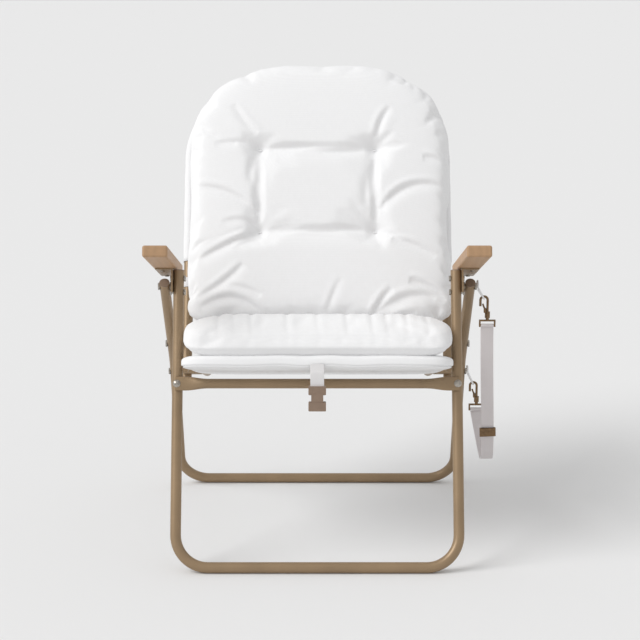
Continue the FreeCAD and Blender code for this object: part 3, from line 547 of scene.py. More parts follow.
def face_outwards(obj: bpy.types.Object) -> None:
    """Turns a closed mesh right side out if its volume counts as negative."""
    mesh = obj.data
    mesh.calc_loop_triangles()
    corner = np.zeros(len(mesh.loop_triangles) * 3, np.int32)
    mesh.loop_triangles.foreach_get("vertices", corner)
    a, b, c = points_of(mesh)[corner.reshape(-1, 3)].transpose(1, 0, 2)
    if (a * np.cross(b, c)).sum() < 0:
        mesh.flip_normals()


def coat(obj: bpy.types.Object, material: bpy.types.Material) -> None:
    """Gives a piece a material in place of those that it has."""
    obj.data.materials.clear()
    obj.data.materials.append(material)


def dress(obj: bpy.types.Object, material: bpy.types.Material, body: str) -> None:
    """Gives a piece its material and the body that it rides on, and logs that body.

    Args:
        obj: The piece.
        material: Its material.
        body: The body that it moves with.
    """
    coat(obj, material)
    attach(obj, body)
    LOG.info("%s rides on %s", obj.name, body)


def frames_along(path: Array, across: Triple) -> tuple[Array, Array]:
    """A side direction near the one given, along a path, and the direction square to side and path.

    Args:
        path: Points of the path.
        across: A direction that the sides keep to.

    Returns:
        Sides and normals, one row for each point.
    """
    tangent = np.gradient(path, axis=0)
    tangent /= np.linalg.norm(tangent, axis=1, keepdims=True)
    side = np.array(across) - tangent * (tangent @ np.array(across))[:, None]
    side /= np.linalg.norm(side, axis=1, keepdims=True)
    return side, np.cross(tangent, side)


def swept(name: str, path: Array, section: Array, across: Triple) -> bpy.types.Object:
    """A profile carried along a path: path + section x times the side + section y times the normal.

    Args:
        name: The piece's name.
        path: Points of the path in metres.
        section: The closed profile, x and y in metres, in order.
        across: The direction of the profile's x.

    Returns:
        The object, closed at both ends, with its map in millimetres across and along.
    """
    side, normal = frames_along(path, across)
    points = path[:, None] + section[None, :, :1] * side[:, None] + section[None, :, 1:] * normal[:, None]
    rows, columns = points.shape[:2]
    reach = np.concatenate([[0.0], np.cumsum(np.linalg.norm(np.diff(path, axis=0), axis=1))])
    uv = np.stack([np.broadcast_to(section[None, :, 0], (rows, columns)),
                   np.broadcast_to(reach[:, None], (rows, columns))], -1) / MM
    obj = mesh_object(name, points, capped_faces(rows, columns), uv.reshape(-1, 2))
    face_outwards(obj)
    return obj


def merge(obj: bpy.types.Object, other: bpy.types.Object) -> None:
    """Adds another object's mesh to an object's own and removes the other object."""
    both = bmesh.new()
    both.from_mesh(obj.data)
    both.from_mesh(other.data)
    both.to_mesh(obj.data)
    both.free()
    bpy.data.objects.remove(other)


def rounded_section(width: float, depth: float, power: float, count: int) -> Array:
    """A rounded bar profile: (|x| / half width)^power + (|y| / half depth)^power = 1.

    Args:
        width: Its width in metres.
        depth: Its depth in metres.
        power: 2 for an ellipse, more for a flatter bar.
        count: How many points it has.

    Returns:
        Points of the profile in order.
    """
    angle = around(count)
    c, s = np.cos(angle), np.sin(angle)
    x = np.sign(c) * np.abs(c) ** (2.0 / power) * width / 2
    y = np.sign(s) * np.abs(s) ** (2.0 / power) * depth / 2
    return np.stack([x, y], -1)


def nurbs_points(name: str, route: list[Triple]) -> Array:
    """Points of the smooth curve that has a route's points as its control points.

    Args:
        name: A name for the curve while it exists.
        route: Control points in millimetres.

    Returns:
        The curve's points in metres.
    """
    obj = in_scene(name, nurbs_curve(name, route))
    mesh = bpy.data.meshes.new_from_object(obj)
    points = points_of(mesh)
    bpy.data.objects.remove(obj)
    bpy.data.meshes.remove(mesh)
    return points


def nurbs_curve(name: str, route: list[Triple]) -> bpy.types.Curve:
    """A curve of one open smooth spline with the points of a route, in millimetres, as its control points."""
    curve = bpy.data.curves.new(name, "CURVE")
    curve.dimensions = "3D"
    spline = curve.splines.new("NURBS")
    spline.points.add(len(route) - 1)
    flat = np.concatenate([np.array(route) * MM, np.ones((len(route), 1))], axis=1)
    spline.points.foreach_set("co", flat.astype(np.float32).ravel())
    spline.order_u = 3
    spline.use_endpoint_u = True
    spline.resolution_u = 24
    return curve


def smoothstep(low: float, high: float, value: Array) -> Array:
    """0 below low, 1 above high, and a smooth ramp between."""
    t = np.clip((value - low) / (high - low), 0.0, 1.0)
    return t * t * (3.0 - 2.0 * t)


@dataclass
class Crease:
    """A fold drawn into a cushion from one point of its face to another, bowed to one side.

    Its line is start + t (end - start) + bow 4 t (1 - t) times the direction square to it.
    """

    start: tuple[float, float]
    end: tuple[float, float]
    bow: float
    depth: float
    width: float

    def depth_at(self, x: Array, along: Array) -> Array:
        """How deep the fold is at points of the face: depth exp(-(distance / width)^2), fading to its ends.

        Below a level fold the width is 2.6 times as large, so the cloth hangs over it from above.

        Args:
            x: Distances to the right.
            along: Distances along the cushion.

        Returns:
            Depths in millimetres, with a low bulge above the fold.
        """
        t = np.linspace(0.0, 1.0, 40)
        a, b = np.array(self.start), np.array(self.end)
        way = b - a
        square = np.array([-way[1], way[0]]) / np.linalg.norm(way)
        line = a + t[:, None] * way + (self.bow * 4.0 * t * (1.0 - t))[:, None] * square
        apart = np.stack([x, along], -1)[:, None, :] - line[None]
        distance = np.linalg.norm(apart, axis=2)
        nearest = distance.argmin(axis=1)
        share = t[nearest]
        fade = np.sqrt(np.clip(4.0 * share * (1.0 - share), 0.0, 1.0)) * (1.15 - 0.5 * share)
        down = -math.copysign(1.0, square[1]) * ((np.stack([x, along], -1) - line[nearest]) @ square)
        below = abs(square[1]) * smoothstep(-0.6, 0.6, down / self.width)
        gap = distance.min(axis=1) / (self.width * (1.0 + 1.6 * below))
        bulge = 0.3 * (1.0 - below) * np.exp(-((gap - 2.4) / 1.3) ** 2)
        return self.depth * fade * (np.exp(-gap ** 2) - bulge)


@dataclass
class Cushion:
    """A stuffed cushion on a sloping plane, swollen by its filling and drawn in at sewn tufts.

    Sizes are millimetres on the plane. Half, low, high and arch_base bound the outline and shift moves it to the
    right; top_power, lower_power and side_power are the superellipse powers of its two ends and of its section.
    Lift is how high the underside lies, thick the height above it and seam the height of the seam round the sides.
    Droop lowers the front edge over droop_reach. Step and undercut set the border below the seam back. The sides
    stay within room, and the right one is pressed in by pinch. Swell is the most that the filling moves a point,
    and slack the share by which the cloth is larger than its pattern. Keep, the share of the thickness that is
    meant to be left when the chair is folded, is not used.
    """

    name: str
    node: str
    body: str
    plane: SidePlane
    half: float
    low: float
    high: float
    arch_base: float
    lift: float
    thick: float
    tufts: list[tuple[float, float]]
    rows: list[tuple[tuple[float, float], tuple[float, float]]]
    creases: list[Crease]
    top_power: float
    side_power: float
    seam: float
    shift: float
    droop: float
    swell: float
    slack: float
    step: float
    undercut: float
    room: float
    pinch: float
    keep: float
    lower_power: float = 13.0
    droop_reach: float = 70.0
    held_share: float = 0.12
    held_radius: float = 9.0
    tuft_share: float = 0.22
    tuft_radius: float = 14.0
    row_share: float = 0.11
    row_width: float = 9.0
    groove: float = 1.8
    groove_width: float = 3.2
    pinch_at: float = 228.0
    pinch_reach: float = 75.0
    thread_half: float = 5.5
    thread_radius: float = 1.9
    voxel: float = 5.6
    frames: int = 20

    def outline(self, turn: Array) -> Array:
        """The cushion's edge as x and along for turns round its middle.

        It is a superellipse: of lower_power below arch_base, and of top_power above it.

        Args:
            turn: Angles in radians.

        Returns:
            Points of the edge, one row for each turn.
        """
        c, s = np.cos(turn), np.sin(turn)
        upper = self.high - self.arch_base
        lower = self.arch_base - self.low
        power = np.where(s >= 0, self.top_power, self.lower_power)
        reach = (np.abs(c) ** power + np.abs(s) ** power) ** (-1.0 / power)
        x = self.shift + self.half * reach * c
        along = self.arch_base + np.where(s >= 0, upper, lower) * reach * s
        return np.stack([x, along], -1)

    def base(self, along: Array) -> Array:
        """Height of the underside off its plane: lift, less the droop over the last stretch."""
        return self.lift - self.droop * smoothstep(self.high - self.droop_reach, self.high, along)

    def shell(self) -> bpy.types.Object:
        """The unfilled cover: rings from the middle of its front round the edge to the middle of its back.

        Its section is a superellipse of power p: r = sin(lap)^(2/p), off = thick (1 + cos(lap)^(2/p)) / 2.

        Returns:
            A closed mesh.
        """
        turns = around(160)
        edge = self.outline(turns)
        middle = np.array([self.shift, self.arch_base * 0.5 + 0.25 * (self.low + self.high)])
        pole = 0.004
        lap = np.linspace(pole, np.pi - pole, 72)
        r = np.sin(lap) ** (2.0 / self.side_power)
        dome = np.sign(np.cos(lap)) * np.abs(np.cos(lap)) ** (2.0 / self.side_power)
        flat = middle + r[:, None, None] * (edge[None] - middle)
        off = self.base(flat[..., 1]) + self.thick * (0.5 + 0.5 * dome)[:, None]
        points = self.plane.world(flat[..., 0], flat[..., 1], off)
        obj = mesh_object(self.name, points, capped_faces(len(lap), len(turns)))
        face_outwards(obj)
        return obj

    def fill(self, obj: bpy.types.Object) -> None:
        """Blows the cover up by a cloth simulation, held at its back and at its tufts.

        Args:
            obj: The remeshed cover, which keeps the simulated shape.
        """
        rest = points_of(obj.data)
        local = self.plane.local(rest)
        held = local[:, 2] < self.lift + self.held_share * self.thick
        for x, along in self.tufts:
            held |= np.hypot(local[:, 0] - x, local[:, 1] - along) < self.held_radius
        group = obj.vertex_groups.new(name="held")
        group.add(np.flatnonzero(held).tolist(), 1.0, "REPLACE")
        cloth = obj.modifiers.new("filling", "CLOTH")
        settings = cloth.settings
        settings.quality = 6
        settings.mass = 0.25
        settings.tension_stiffness = 14.0
        settings.compression_stiffness = 14.0
        settings.bending_stiffness = 0.6
        settings.shrink_min = -self.slack
        settings.use_pressure = True
        settings.uniform_pressure_force = 4.0
        settings.effector_weights.gravity = 0.0
        settings.vertex_group_mass = group.name
        cloth.point_cache.frame_start = 1
        cloth.point_cache.frame_end = self.frames
        scene = bpy.context.scene
        for number in range(1, self.frames + 1):
            scene.frame_set(number)
        graph = bpy.context.evaluated_depsgraph_get()
        swollen = points_of(obj.evaluated_get(graph).data)
        scene.frame_set(1)
        obj.modifiers.remove(cloth)
        obj.vertex_groups.clear()
        move = swollen - rest
        size = np.linalg.norm(move, axis=1, keepdims=True)
        move *= np.minimum(1.0, self.swell * MM / np.maximum(size, 1e-9))
        move_points(obj.data, rest + move)

    def depth_at(self, x: Array, along: Array) -> Array:
        """How deep the sewing draws the front in at points of the face.

        A tuft's depth is tuft_share thick exp(-(distance / tuft_radius)^1.2), and a row between two tufts is a
        straight crease. The deepest of these counts, and the loose creases come on top.

        Args:
            x: Distances to the right.
            along: Distances along the cushion.

        Returns:
            Depths in millimetres.
        """
        depth = np.zeros(len(x))
        for tuft_x, tuft_along in self.tufts:
            gap = np.hypot(x - tuft_x, along - tuft_along)
            tuft = self.tuft_share * self.thick * np.exp(-(gap / self.tuft_radius) ** 1.2)
            depth = np.maximum(depth, tuft)
        for start, end in self.rows:
            row = Crease(start, end, 0.0, self.row_share * self.thick, self.row_width)
            depth = np.maximum(depth, row.depth_at(x, along))
        for crease in self.creases:
            depth = depth + crease.depth_at(x, along)
        return depth

    def sew(self, obj: bpy.types.Object) -> None:
        """Draws the front in at its tufts, rows and creases, and shapes the border.

        A groove runs round the sides at the height of the seam, and the border below it stands back by step and
        leans in by undercut. The sides stay within room, where the cushion presses on what stands beside it, and
        the right one is pulled in by pinch exp(-((along - pinch_at) / pinch_reach)^4) at the armrest.

        Args:
            obj: The filled cushion.
        """
        local = self.plane.local(points_of(obj.data))
        x, along, off = local.T
        top = off - self.base(along)
        front = smoothstep(0.3 * self.thick, 0.72 * self.thick, top)
        local[:, 2] = off - self.depth_at(x, along) * front
        inset = self.groove * np.exp(-((top - self.seam) / self.groove_width) ** 2) * (1.0 - front)
        inset += self.step * smoothstep(-2.5, 2.5, self.seam - top)
        inset += self.undercut * np.clip(self.seam - top, 0.0, self.seam)
        out = np.stack([x, along], -1) - np.array([self.shift, (self.low + self.high) / 2])
        out /= np.maximum(np.linalg.norm(out, axis=1, keepdims=True), 1.0)
        local[:, :2] -= inset[:, None] * out
        right = self.room - self.pinch * np.exp(-((along - self.pinch_at) / self.pinch_reach) ** 4)
        local[:, 0] = np.clip(local[:, 0], -self.room, right)
        move_points(obj.data, self.plane.world(local[:, 0], local[:, 1], local[:, 2]))

    def knot(self, obj: bpy.types.Object) -> None:
        """Adds the thread that is sewn across each tuft, a short thick bar on the cover.

        Args:
            obj: The sewn cushion, which takes the threads into its mesh.
        """
        local = self.plane.local(points_of(obj.data))
        turn = around(12)
        lap = np.linspace(0.08, np.pi - 0.08, 10)
        x = self.thread_half * np.cos(lap)[:, None] * np.ones(len(turn))
        along = self.thread_radius * np.sin(lap)[:, None] * np.cos(turn)
        off = self.thread_radius * np.sin(lap)[:, None] * np.sin(turn)
        faces = capped_faces(len(lap), len(turn))
        cover = bmesh.new()
        cover.from_mesh(obj.data)
        for tuft_x, tuft_along in self.tufts:
            near = np.hypot(local[:, 0] - tuft_x, local[:, 1] - tuft_along) < 6.0
            base = local[near & (local[:, 2] > self.lift + 0.4 * self.thick), 2].min() + 2.0
            bar = self.plane.world(x + tuft_x, along + tuft_along, off + base).reshape(-1, 3)
            corners = [cover.verts.new(point) for point in bar.tolist()]
            for face in faces:
                cover.faces.new([corners[i] for i in face]).smooth = True
        cover.to_mesh(obj.data)
        cover.free()

    def build(self, palette: Palette) -> None:
        """Makes the cushion, fills and sews it, and sets it on its body.

        Args:
            palette: The finishes.
        """
        obj = self.shell()
        remesh = obj.modifiers.new("even", "REMESH")
        remesh.mode = "VOXEL"
        remesh.voxel_size = self.voxel * MM
        apply_modifiers(obj)
        self.fill(obj)
        soften(obj, 3)
        finer = obj.modifiers.new("finer", "SUBSURF")
        finer.levels = 1
        finer.render_levels = 1
        apply_modifiers(obj)
        self.sew(obj)
        soften(obj, 2)
        self.knot(obj)
        face_outwards(obj)
        dress(obj, palette.get("canvas"), self.body)
        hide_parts(self.node)
        anchor = self.plane.world(np.array(0.0), np.array(self.low), np.array(self.lift))
        self.plane.normal()
        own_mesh(obj)


@dataclass
class SeatPanel:
    """The padded seat panel: two cloth layers over a thin filling, rounded at the edge, with a sewn rim."""

    half: float = 246.0
    front_half: float = 252.0
    widen_from: float = 350.0
    widen_to: float = 372.0
    rear: float = 113.0
    front: float = 421.0
    thick: float = 31.0
    rear_thick: float = 25.5
    corner_power: float = 9.0
    seam_lap: float = 1.78
    ripple: float = 1.4

    def edge(self, turns: Array) -> Array:
        """The panel's edge as x and along: a superellipse of corner_power, wider in front of the hooks.

        Args:
            turns: Angles round its middle.

        Returns:
            Points of the edge, one row for each turn.
        """
        c, s = np.cos(turns), np.sin(turns)
        power = self.corner_power
        reach = (np.abs(c) ** power + np.abs(s) ** power) ** (-1.0 / power)
        along = (self.rear + self.front) / 2 + (self.front - self.rear) / 2 * reach * s
        widened = smoothstep(self.widen_from, self.widen_to, along)
        wide = self.half + (self.front_half - self.half) * widened
        return np.stack([wide * reach * c, along], -1)

    def build(self, palette: Palette) -> None:
        """Makes the panel as rings round its middle, with a groove at the rim's seam and a rippled edge.

        A ring's size is the edge times sin(lap)^0.22, and its height half the thickness times cos(lap)^0.55.

        Args:
            palette: The finishes.
        """
        turns = around(240)
        edge = self.edge(turns)
        lap = np.linspace(0.02, np.pi - 0.02, 60)
        inner = np.array([0.0, (self.rear + self.front) / 2])
        r = np.sin(lap) ** 0.22
        seam = 1.0 - 0.012 * np.exp(-((lap - self.seam_lap) / 0.05) ** 2)
        dome = np.sign(np.cos(lap)) * np.abs(np.cos(lap)) ** 0.55
        flat = inner + (r * seam)[:, None, None] * (edge[None] - inner)
        wave = np.sin(edge[:, 0] / 19.0 + 0.8 * np.sin(edge[:, 0] / 53.0))
        ripple = self.ripple * wave * np.abs(np.sin(turns)) ** 4
        half_thick = np.interp(flat[..., 1], [self.rear, self.front], [self.rear_thick / 2, self.thick / 2])
        off = dome[:, None] * half_thick + ripple[None] * (np.sin(lap) ** 3)[:, None]
        points = SEAT.world(flat[..., 0], flat[..., 1], off)
        obj = mesh_object("seat_panel_cover", points, capped_faces(len(lap), len(turns)))
        face_outwards(obj)
        dress(obj, palette.get("canvas"), "seat")
        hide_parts("seat_panel")


@dataclass
class BackSling:
    """The cloth of the back: a sleeve over the arched tube and a sheet stretched across it."""

    half: float = 265.0
    bend: float = 190.0
    start: float = 172.0
    top: float = 580.0
    sleeve: float = 11.0
    pucker: float = 0.25
    face: float = 10.4
    sag: float = 1.6
    cloth: float = 0.9
    flat_m: tuple[float, float] = (0.64, 0.52)

    def half_at(self, along: Array) -> Array:
        """Half the width between the arch's centre lines at places along the back.

        It is the full half up to the bend, and then what a circle of the bend's radius leaves.

        Args:
            along: Distances along the back.

        Returns:
            Half widths in millimetres.
        """
        into = np.clip(along - (self.top - self.bend), 0.0, self.bend)
        return self.half - self.bend + np.sqrt(self.bend ** 2 - into ** 2)

    def path(self) -> Array:
        """Centre line of the arch from one hem over the top to the other, in the back's coordinates."""
        straight = np.linspace(self.start, self.top - self.bend, 24)
        turn = np.linspace(0.0, np.pi / 2, 28)[1:]
        rise = np.concatenate([straight, self.top - self.bend + self.bend * np.sin(turn)])
        bent = self.half - self.bend + self.bend * np.cos(turn)
        side = np.concatenate([np.full(len(straight), self.half), bent])
        flat = np.linspace(side[-1], -side[-1], 12)[1:-1]
        x = np.concatenate([side, flat, -side[::-1]])
        along = np.concatenate([rise, np.full(len(flat), self.top), rise[::-1]])
        return np.stack([x, along], -1)

    def build(self, palette: Palette) -> None:
        """Makes the sheet, a grid of share across and place along, and the sleeve, a tube about the arch.

        Args:
            palette: The finishes.
        """
        along = np.linspace(self.start, self.top, 60)
        share = np.linspace(-1.0, 1.0, 70)
        wide = self.half_at(along)
        x = wide[:, None] * share[None]
        off = self.face - self.sag * (1.0 - share[None] ** 2) * np.ones_like(x)
        sheet = BACK.world(x, np.broadcast_to(along[:, None], x.shape), off).reshape(-1, 3)
        line = self.path()
        tangent = np.gradient(line, axis=0)
        tangent /= np.linalg.norm(tangent, axis=1, keepdims=True)
        outward = np.stack([tangent[:, 1], -tangent[:, 0]], -1)
        turn = around(28)
        radius = self.sleeve + self.pucker * np.sin(np.arange(len(line)) * 0.9)[:, None]
        ring = line[:, None] + (radius * np.cos(turn))[..., None] * outward[:, None]
        tube = BACK.world(ring[..., 0], ring[..., 1], radius * np.sin(turn))
        points = np.concatenate([sheet, tube.reshape(-1, 3)])
        faces = grid_faces(len(along), len(share), False).tolist()
        faces += (grid_faces(len(line), len(turn), True) + len(sheet)).tolist()
        obj = mesh_object("back_sling_cloth", points, faces)
        wall = obj.modifiers.new("cloth", "SOLIDIFY")
        wall.thickness = self.cloth * MM
        dress(obj, palette.get("sling"), "back")
        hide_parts("back_sling")


@dataclass
class TieBands:
    """Webbing loops round the bare part of the back tubes, which hold the cushion."""

    half: float = 265.0
    low: float = 117.0
    width: float = 20.0
    radius: float = 11.0
    half_thick: float = 0.6

    def build(self, palette: Palette) -> None:
        """Makes each band as a ring of a flat profile round its tube.

        Args:
            palette: The finishes.
        """
        turn = around(48)[:, None] * np.ones(20)
        lap = around(20)[None] * np.ones((48, 1))
        radius = self.radius + self.half_thick * np.sin(lap)
        along = self.low + self.width / 2 + self.width / 2 * np.cos(lap)
        faces = grid_faces(len(turn) + 1, lap.shape[1], True) % turn.size
        uv = np.stack([along, turn * self.radius], -1).reshape(-1, 2)
        for hand in Hand:
            x = hand.value * self.half + radius * np.cos(turn)
            points = BACK.world(x, along, radius * np.sin(turn))
            obj = mesh_object(f"tie_band_{hand.name.lower()}", points, faces.tolist(), uv)
            face_outwards(obj)
            dress(obj, palette.get("webbing"), "back")
        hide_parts("cushion_tie_bands")


@dataclass
class CarryStrap:
    """The carrying strap: a webbing that hangs between two snap hooks, and the cord loops that hold them.

    Hook heights are those of the tops of the barrels; the bar that holds the webbing lies bar_drop below.
    """

    hook_x: float = 331.0
    upper_y: float = -54.8
    upper_z: float = 437.0
    upper_eye_z: float = 487.0
    lower_y: float = 125.5
    lower_z: float = 222.4
    lower_eye_z: float = 276.4
    outer_x: float = 309.1
    bow_rise: float = 30.0
    bow_inset: float = 7.0
    wire_radius: float = 2.4
    cord_radius: float = 1.8
    cord_play: float = 0.15
    width: float = 25.0
    thick: float = 1.7
    swing: float = 13.0
    bar_drop: float = 27.5
    bar_radius: float = 1.6
    bar_play: float = 0.3

    def route(self) -> list[Triple]:
        """Control points of the webbing from the upper hook's bar to the lower one's, as in the part's source."""
        below_bar = self.bar_drop + 2.4
        return [
            (self.hook_x, self.upper_y, self.upper_z - below_bar),
            (self.hook_x, self.upper_y + 4.0, self.upper_z - 60.0),
            (self.hook_x + self.swing, self.upper_y + 52.0, 108.0),
            (self.hook_x + self.swing, self.lower_y - 22.0, 118.0),
            (self.hook_x, self.lower_y, self.lower_z - below_bar),
        ]

    def turn(self, y: float, z: float) -> Array:
        """Points in metres of the webbing's turn round the bar of a hook.

        Args:
            y: Depth of the hook.
            z: Height of the top of the hook's barrel.

        Returns:
            A circle from the bar's underside round to it again.
        """
        angle = np.linspace(-0.5 * np.pi, 1.5 * np.pi, 33)
        radius = self.bar_radius + self.bar_play + self.thick / 2
        return MM * np.stack([np.full(len(angle), self.hook_x), y + radius * np.cos(angle),
                              z - self.bar_drop + radius * np.sin(angle)], -1)

    def webbing(self, palette: Palette) -> None:
        """Carries a flat profile along the strap's curve and round the hooks' bars, as a flat cord.

        Args:
            palette: The finishes.
        """
        path = nurbs_points("strap_route", self.route())
        section = rounded_section(self.width * MM, self.thick * MM, 6.0, 36)
        obj = swept("carry_strap", path, section, ACROSS)
        for y, z in ((self.upper_y, self.upper_z), (self.lower_y, self.lower_z)):
            merge(obj, swept("strap_turn", self.turn(y, z), section, ACROSS))
        dress(obj, palette.get("strap"), "rear_frame")
        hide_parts("strap_webbing")

    def cord_loop(self, word: str, eye_y: float, eye_z: float, hook_z: float, palette: Palette) -> None:
        """Makes the cord, a curve, that goes round a pivot's end and through a hook's bow.

        Args:
            word: Which loop it is.
            eye_y: Depth of the pivot.
            eye_z: Height of the pivot.
            hook_z: Height of the top of the hook's barrel.
            palette: The finishes.
        """
        low = hook_z + self.bow_rise - self.wire_radius - self.cord_radius - self.cord_play
        near = self.outer_x + self.cord_radius + 0.1
        bow = self.hook_x - self.bow_inset
        route = [
            (near, eye_y - 9.0, eye_z - 2.0),
            (near, eye_y - 9.0, eye_z + 10.5),
            (near, eye_y + 9.0, eye_z + 10.5),
            (near, eye_y + 9.0, eye_z - 2.0),
            (bow, eye_y + 7.0, low),
            (bow, eye_y - 7.0, low),
            (near, eye_y - 9.0, eye_z - 4.5),
        ]
        line = nurbs_points(word + "_loop_route", route)
        curve = nurbs_curve(word + "_cord", route)
        curve.bevel_depth = self.cord_radius * MM
        curve.bevel_resolution = 5
        curve.use_fill_caps = True
        obj = in_scene(word + "_cord", curve)
        dress(obj, palette.get("sling"), "rear_frame")
        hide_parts(word + "_cord_loop")

    def build(self, palette: Palette) -> None:
        """Makes the cord loops and then the webbing between the hooks.

        Args:
            palette: The finishes.
        """
        self.cord_loop("upper", self.upper_y, self.upper_eye_z, self.upper_z, palette)
        self.cord_loop("lower", self.lower_y, self.lower_eye_z, self.lower_z, palette)
        self.webbing(palette)


@dataclass
class BuckleTab:
    """The short webbing that carries the buckle socket at the seat's front edge."""

    width: float = 25.0
    thick: float = 1.6
    along: float = 423.0
    start: float = -4.0
    turn: float = -14.0
    forward: float = 4.0
    drop: float = 34.0

    def build(self, palette: Palette) -> None:
        """Carries a flat profile down the panel's front and straight down to the buckle.

        Args:
            palette: The finishes.
        """
        offs = np.array([self.start, self.turn])
        top, turn = SEAT.world(np.zeros(2), np.full(2, self.along), offs) / MM
        knee = turn + np.array([0.0, -self.forward, -8.0])
        low = turn + np.array([0.0, -self.forward, -self.drop])
        path = nurbs_points("tab_route", [tuple(p) for p in (top, turn, knee, low)])
        section = rounded_section(self.width * MM, self.thick * MM, 6.0, 32)
        obj = swept("buckle_tab", path, section, ACROSS)
        dress(obj, palette.get("webbing"), "seat")
        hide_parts("buckle_webbing")


@dataclass
class FrameParts:
    """The rigid parts that keep their own shapes, by finish."""

    finishes: dict[str, tuple[str, ...]] = field(default_factory=lambda: {
        "paint": ("front_leg_tube", "rear_leg_tube", "seat_frame_tube", "seat_rear_tube", "back_frame_tube",
                  "front_crossbar", "left_arm_bracket", "right_arm_bracket", "seat_hook_plates"),
        "wood": ("left_armrest", "right_armrest"),
        "hardware": ("upper_snap_hook", "lower_snap_hook", "upper_hook_gate", "lower_hook_gate",
                     "strap_slider"),
        "buckle": ("buckle_socket", "front_leg_caps", "rear_leg_caps", "back_frame_caps"),
        "nylon": ("leg_pivot_spacers", "seat_rod_sleeves", "back_pivot_spacers"),
        "steel": ("crossbar_bolts", "seat_hook_pins", "armrest_screws", "arm_bracket_bolts",
                  "leg_pivot_bolts", "seat_pivot_rod", "seat_rod_nuts", "back_pivot_bolts"),
    })

    def dress(self, palette: Palette) -> None:
        """Gives every rigid part its finish.

        Args:
            palette: The finishes.
        """
        for word, names in self.finishes.items():
            for name in names:
                coat(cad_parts[name], palette.get(word))
                LOG.info("%s is finished in %s", name, word)


@dataclass
class Studio:
    """A pale floor, soft light and the camera of the view from the front.

    The key lamp's turn is degrees down from overhead and round from the front towards the left.
    """

    floor_tone: float = 0.8
    floor_side: float = 3000.0
    sky: float = 0.67
    sun: float = 1.74
    key_turn: tuple[float, float] = (50.0, 66.0)
    key_spread: float = 34.0
    lens: float = 90.0
    camera_at: Triple = (0.005, FRONT_BAR_Y * MM - 2.7918, 1.032)
    camera_dip: float = 11.31

    def floor(self) -> None:
        """A wide pale floor, a grid of four corners, that fills the whole view."""
        side = np.array([-self.floor_side, self.floor_side])
        points = np.stack([*np.meshgrid(side, side), np.zeros((2, 2))], -1)
        obj = mesh_object("studio_floor", points, grid_faces(2, 2, False).tolist())
        tree = NodeTree("pale_floor")
        tree.set(Base_Color=(self.floor_tone,) * 3 + (1.0,), Roughness=0.9, Specular_IOR_Level=0.1)
        obj.data.materials.append(tree.material)

    def world(self) -> None:
        """Even light from all round."""
        world = bpy.data.worlds.new("studio")
        bpy.context.scene.world = world
        world.use_nodes = True
        back = world.node_tree.nodes["Background"]
        back.inputs["Color"].default_value = (1.0, 1.0, 1.0, 1.0)
        back.inputs["Strength"].default_value = self.sky

    def key_lamp(self) -> None:
        """A soft far lamp that lights the whole floor evenly."""
        light = bpy.data.lights.new("key", "SUN")
        light.angle = math.radians(self.key_spread)
        light.energy = self.sun
        down, left = self.key_turn
        obj = in_scene("key", light)
        obj.rotation_euler = (math.radians(down), 0.0, math.radians(-left))

    def camera(self) -> None:
        """The camera in front of the chair, a little above its top, looking down."""
        camera = bpy.data.cameras.new("front_view")
        camera.lens = self.lens
        camera.sensor_width = 36.0
        camera.clip_end = 10000.0
        obj = in_scene("front_view", camera)
        obj.location = self.camera_at
        obj.rotation_euler = (math.radians(90.0 - self.camera_dip), 0.0, 0.0)
        bpy.context.scene.camera = obj

    def build(self) -> None:
        """Sets up floor, light and camera."""
        self.floor()
        self.world()
        self.key_lamp()
        self.camera()
        bpy.context.scene.view_settings.view_transform = "Standard"


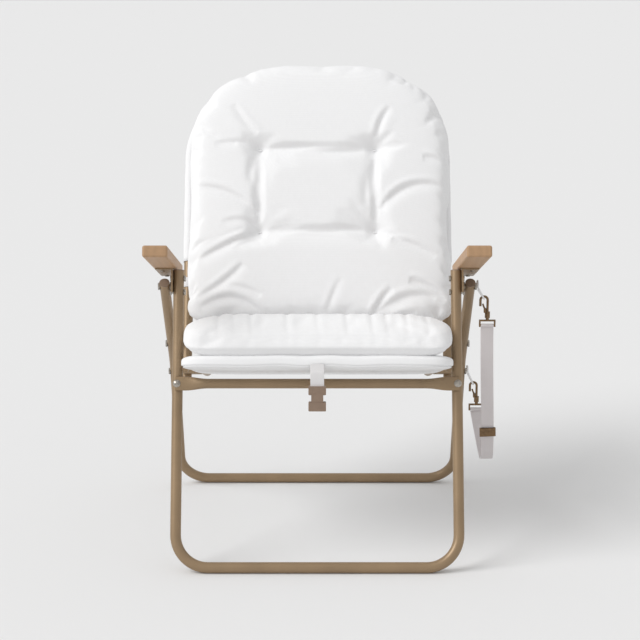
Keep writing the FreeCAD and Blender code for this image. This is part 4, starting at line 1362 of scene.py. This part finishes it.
def back_cushion() -> Cushion:
    """The arched back cushion with two rows of tufts and the folds that run from them."""
    x, low, high = 117.0, 215.0, 390.0
    creases = [
        Crease((-122.0, 250.0), (-246.0, 309.0), -15.0, 6.0, 4.6),
        Crease((-124.0, 225.0), (-193.0, 229.0), -9.0, 3.5, 4.2),
        Crease((-122.0, 210.0), (-242.0, 150.0), -4.0, 6.5, 4.4),
        Crease((-112.0, 196.0), (-168.0, 174.0), -3.0, 3.5, 4.2),
        Crease((-148.0, 145.0), (-242.0, 74.0), 5.0, 4.8, 4.4),
        Crease((-109.0, 41.0), (-237.0, 52.0), -30.0, 7.0, 4.8),
        Crease((-112.0, 78.0), (-176.0, 99.0), -5.0, 3.5, 4.2),
        Crease((-122.0, 420.0), (-172.0, 485.0), 4.0, 4.5, 4.2),
        Crease((-164.0, 401.0), (-210.0, 398.0), -2.0, 3.0, 4.0),
        Crease((127.0, 256.0), (266.0, 304.0), 30.0, 6.5, 4.8),
        Crease((121.0, 412.0), (149.0, 478.0), 6.0, 5.5, 4.4),
        Crease((215.0, 372.0), (261.0, 358.0), 3.0, 4.0, 4.2),
        Crease((150.0, 199.0), (238.0, 159.0), 4.0, 5.5, 4.4),
        Crease((184.0, 113.0), (257.0, 69.0), 7.0, 6.5, 4.6),
        Crease((110.0, 36.0), (149.0, 94.0), 4.0, 6.5, 4.6),
        Crease((125.0, 45.0), (237.0, 74.0), 18.0, 6.5, 5.4),
        Crease((152.0, 34.0), (200.0, 44.0), 3.0, 5.0, 4.4),
        Crease((18.0, 44.0), (48.0, 116.0), 2.0, 2.5, 4.4),
    ]
    return Cushion(
        name="back_pillow", node="back_cushion", body="back", plane=BACK, half=277.0, low=21.0, high=591.0,
        arch_base=316.0, lift=12.6, thick=68.0,
        tufts=[(-x, low), (x, low), (-x, high), (x, high)],
        rows=[((-x, low), (x, low)), ((-x, high), (x, high)), ((-x, low), (-x, high)), ((x, low), (x, high))],
        creases=creases, top_power=3.0, side_power=3.1, seam=22.0, shift=5.0, droop=0.0, swell=14.0,
        slack=0.015, step=0.0, undercut=0.1, room=284.0, pinch=21.5, keep=0.12)


def seat_cushion() -> Cushion:
    """The seat cushion with one row of tufts and soft folds over its front edge."""
    x, row = 117.0, 255.0
    pleats = ((-178.0, 3.0), (-150.0, 2.4), (-118.0, 3.2), (-52.0, 2.6), (4.0, 2.0), (58.0, 2.8),
              (104.0, 3.4), (131.0, 3.0), (168.0, 3.4), (205.0, 2.4))
    creases = [Crease((place - 4.0, 318.0), (place, 422.0), 3.0, 0.8 * deep, 4.2) for place, deep in pleats]
    for hand in Hand:
        h = hand.value
        creases += [
            Crease((h * x, row), (h * 190.0, row + 110.0), -8.0 * h, 4.0, 6.0),
            Crease((h * x, row), (h * 225.0, row + 30.0), 6.0 * h, 3.5, 5.0),
        ]
    return Cushion(
        name="seat_pillow", node="seat_cushion", body="seat", plane=SEAT, half=248.0, low=106.0, high=426.0,
        arch_base=266.0, lift=17.6, thick=67.0, tufts=[(-x, row), (x, row)], rows=[((-x, row), (x, row))],
        creases=creases, top_power=11.0, side_power=5.0, seam=21.0, shift=1.0, droop=17.0, swell=8.0,
        slack=0.008, step=5.0, undercut=0.55, room=250.2, pinch=0.0, keep=0.11)


def main() -> None:
    """Builds the chair's looks round its frame."""
    logging.basicConfig(level=logging.INFO, format="%(name)s: %(message)s")
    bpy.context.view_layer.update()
    palette = Palette()
    Studio().build()
    CarryStrap().build(palette)
    FrameParts().dress(palette)
    for part in (back_cushion(), seat_cushion(), SeatPanel(), BackSling(), TieBands(), BuckleTab()):
        part.build(palette)


if __name__ == "__main__":
    main()
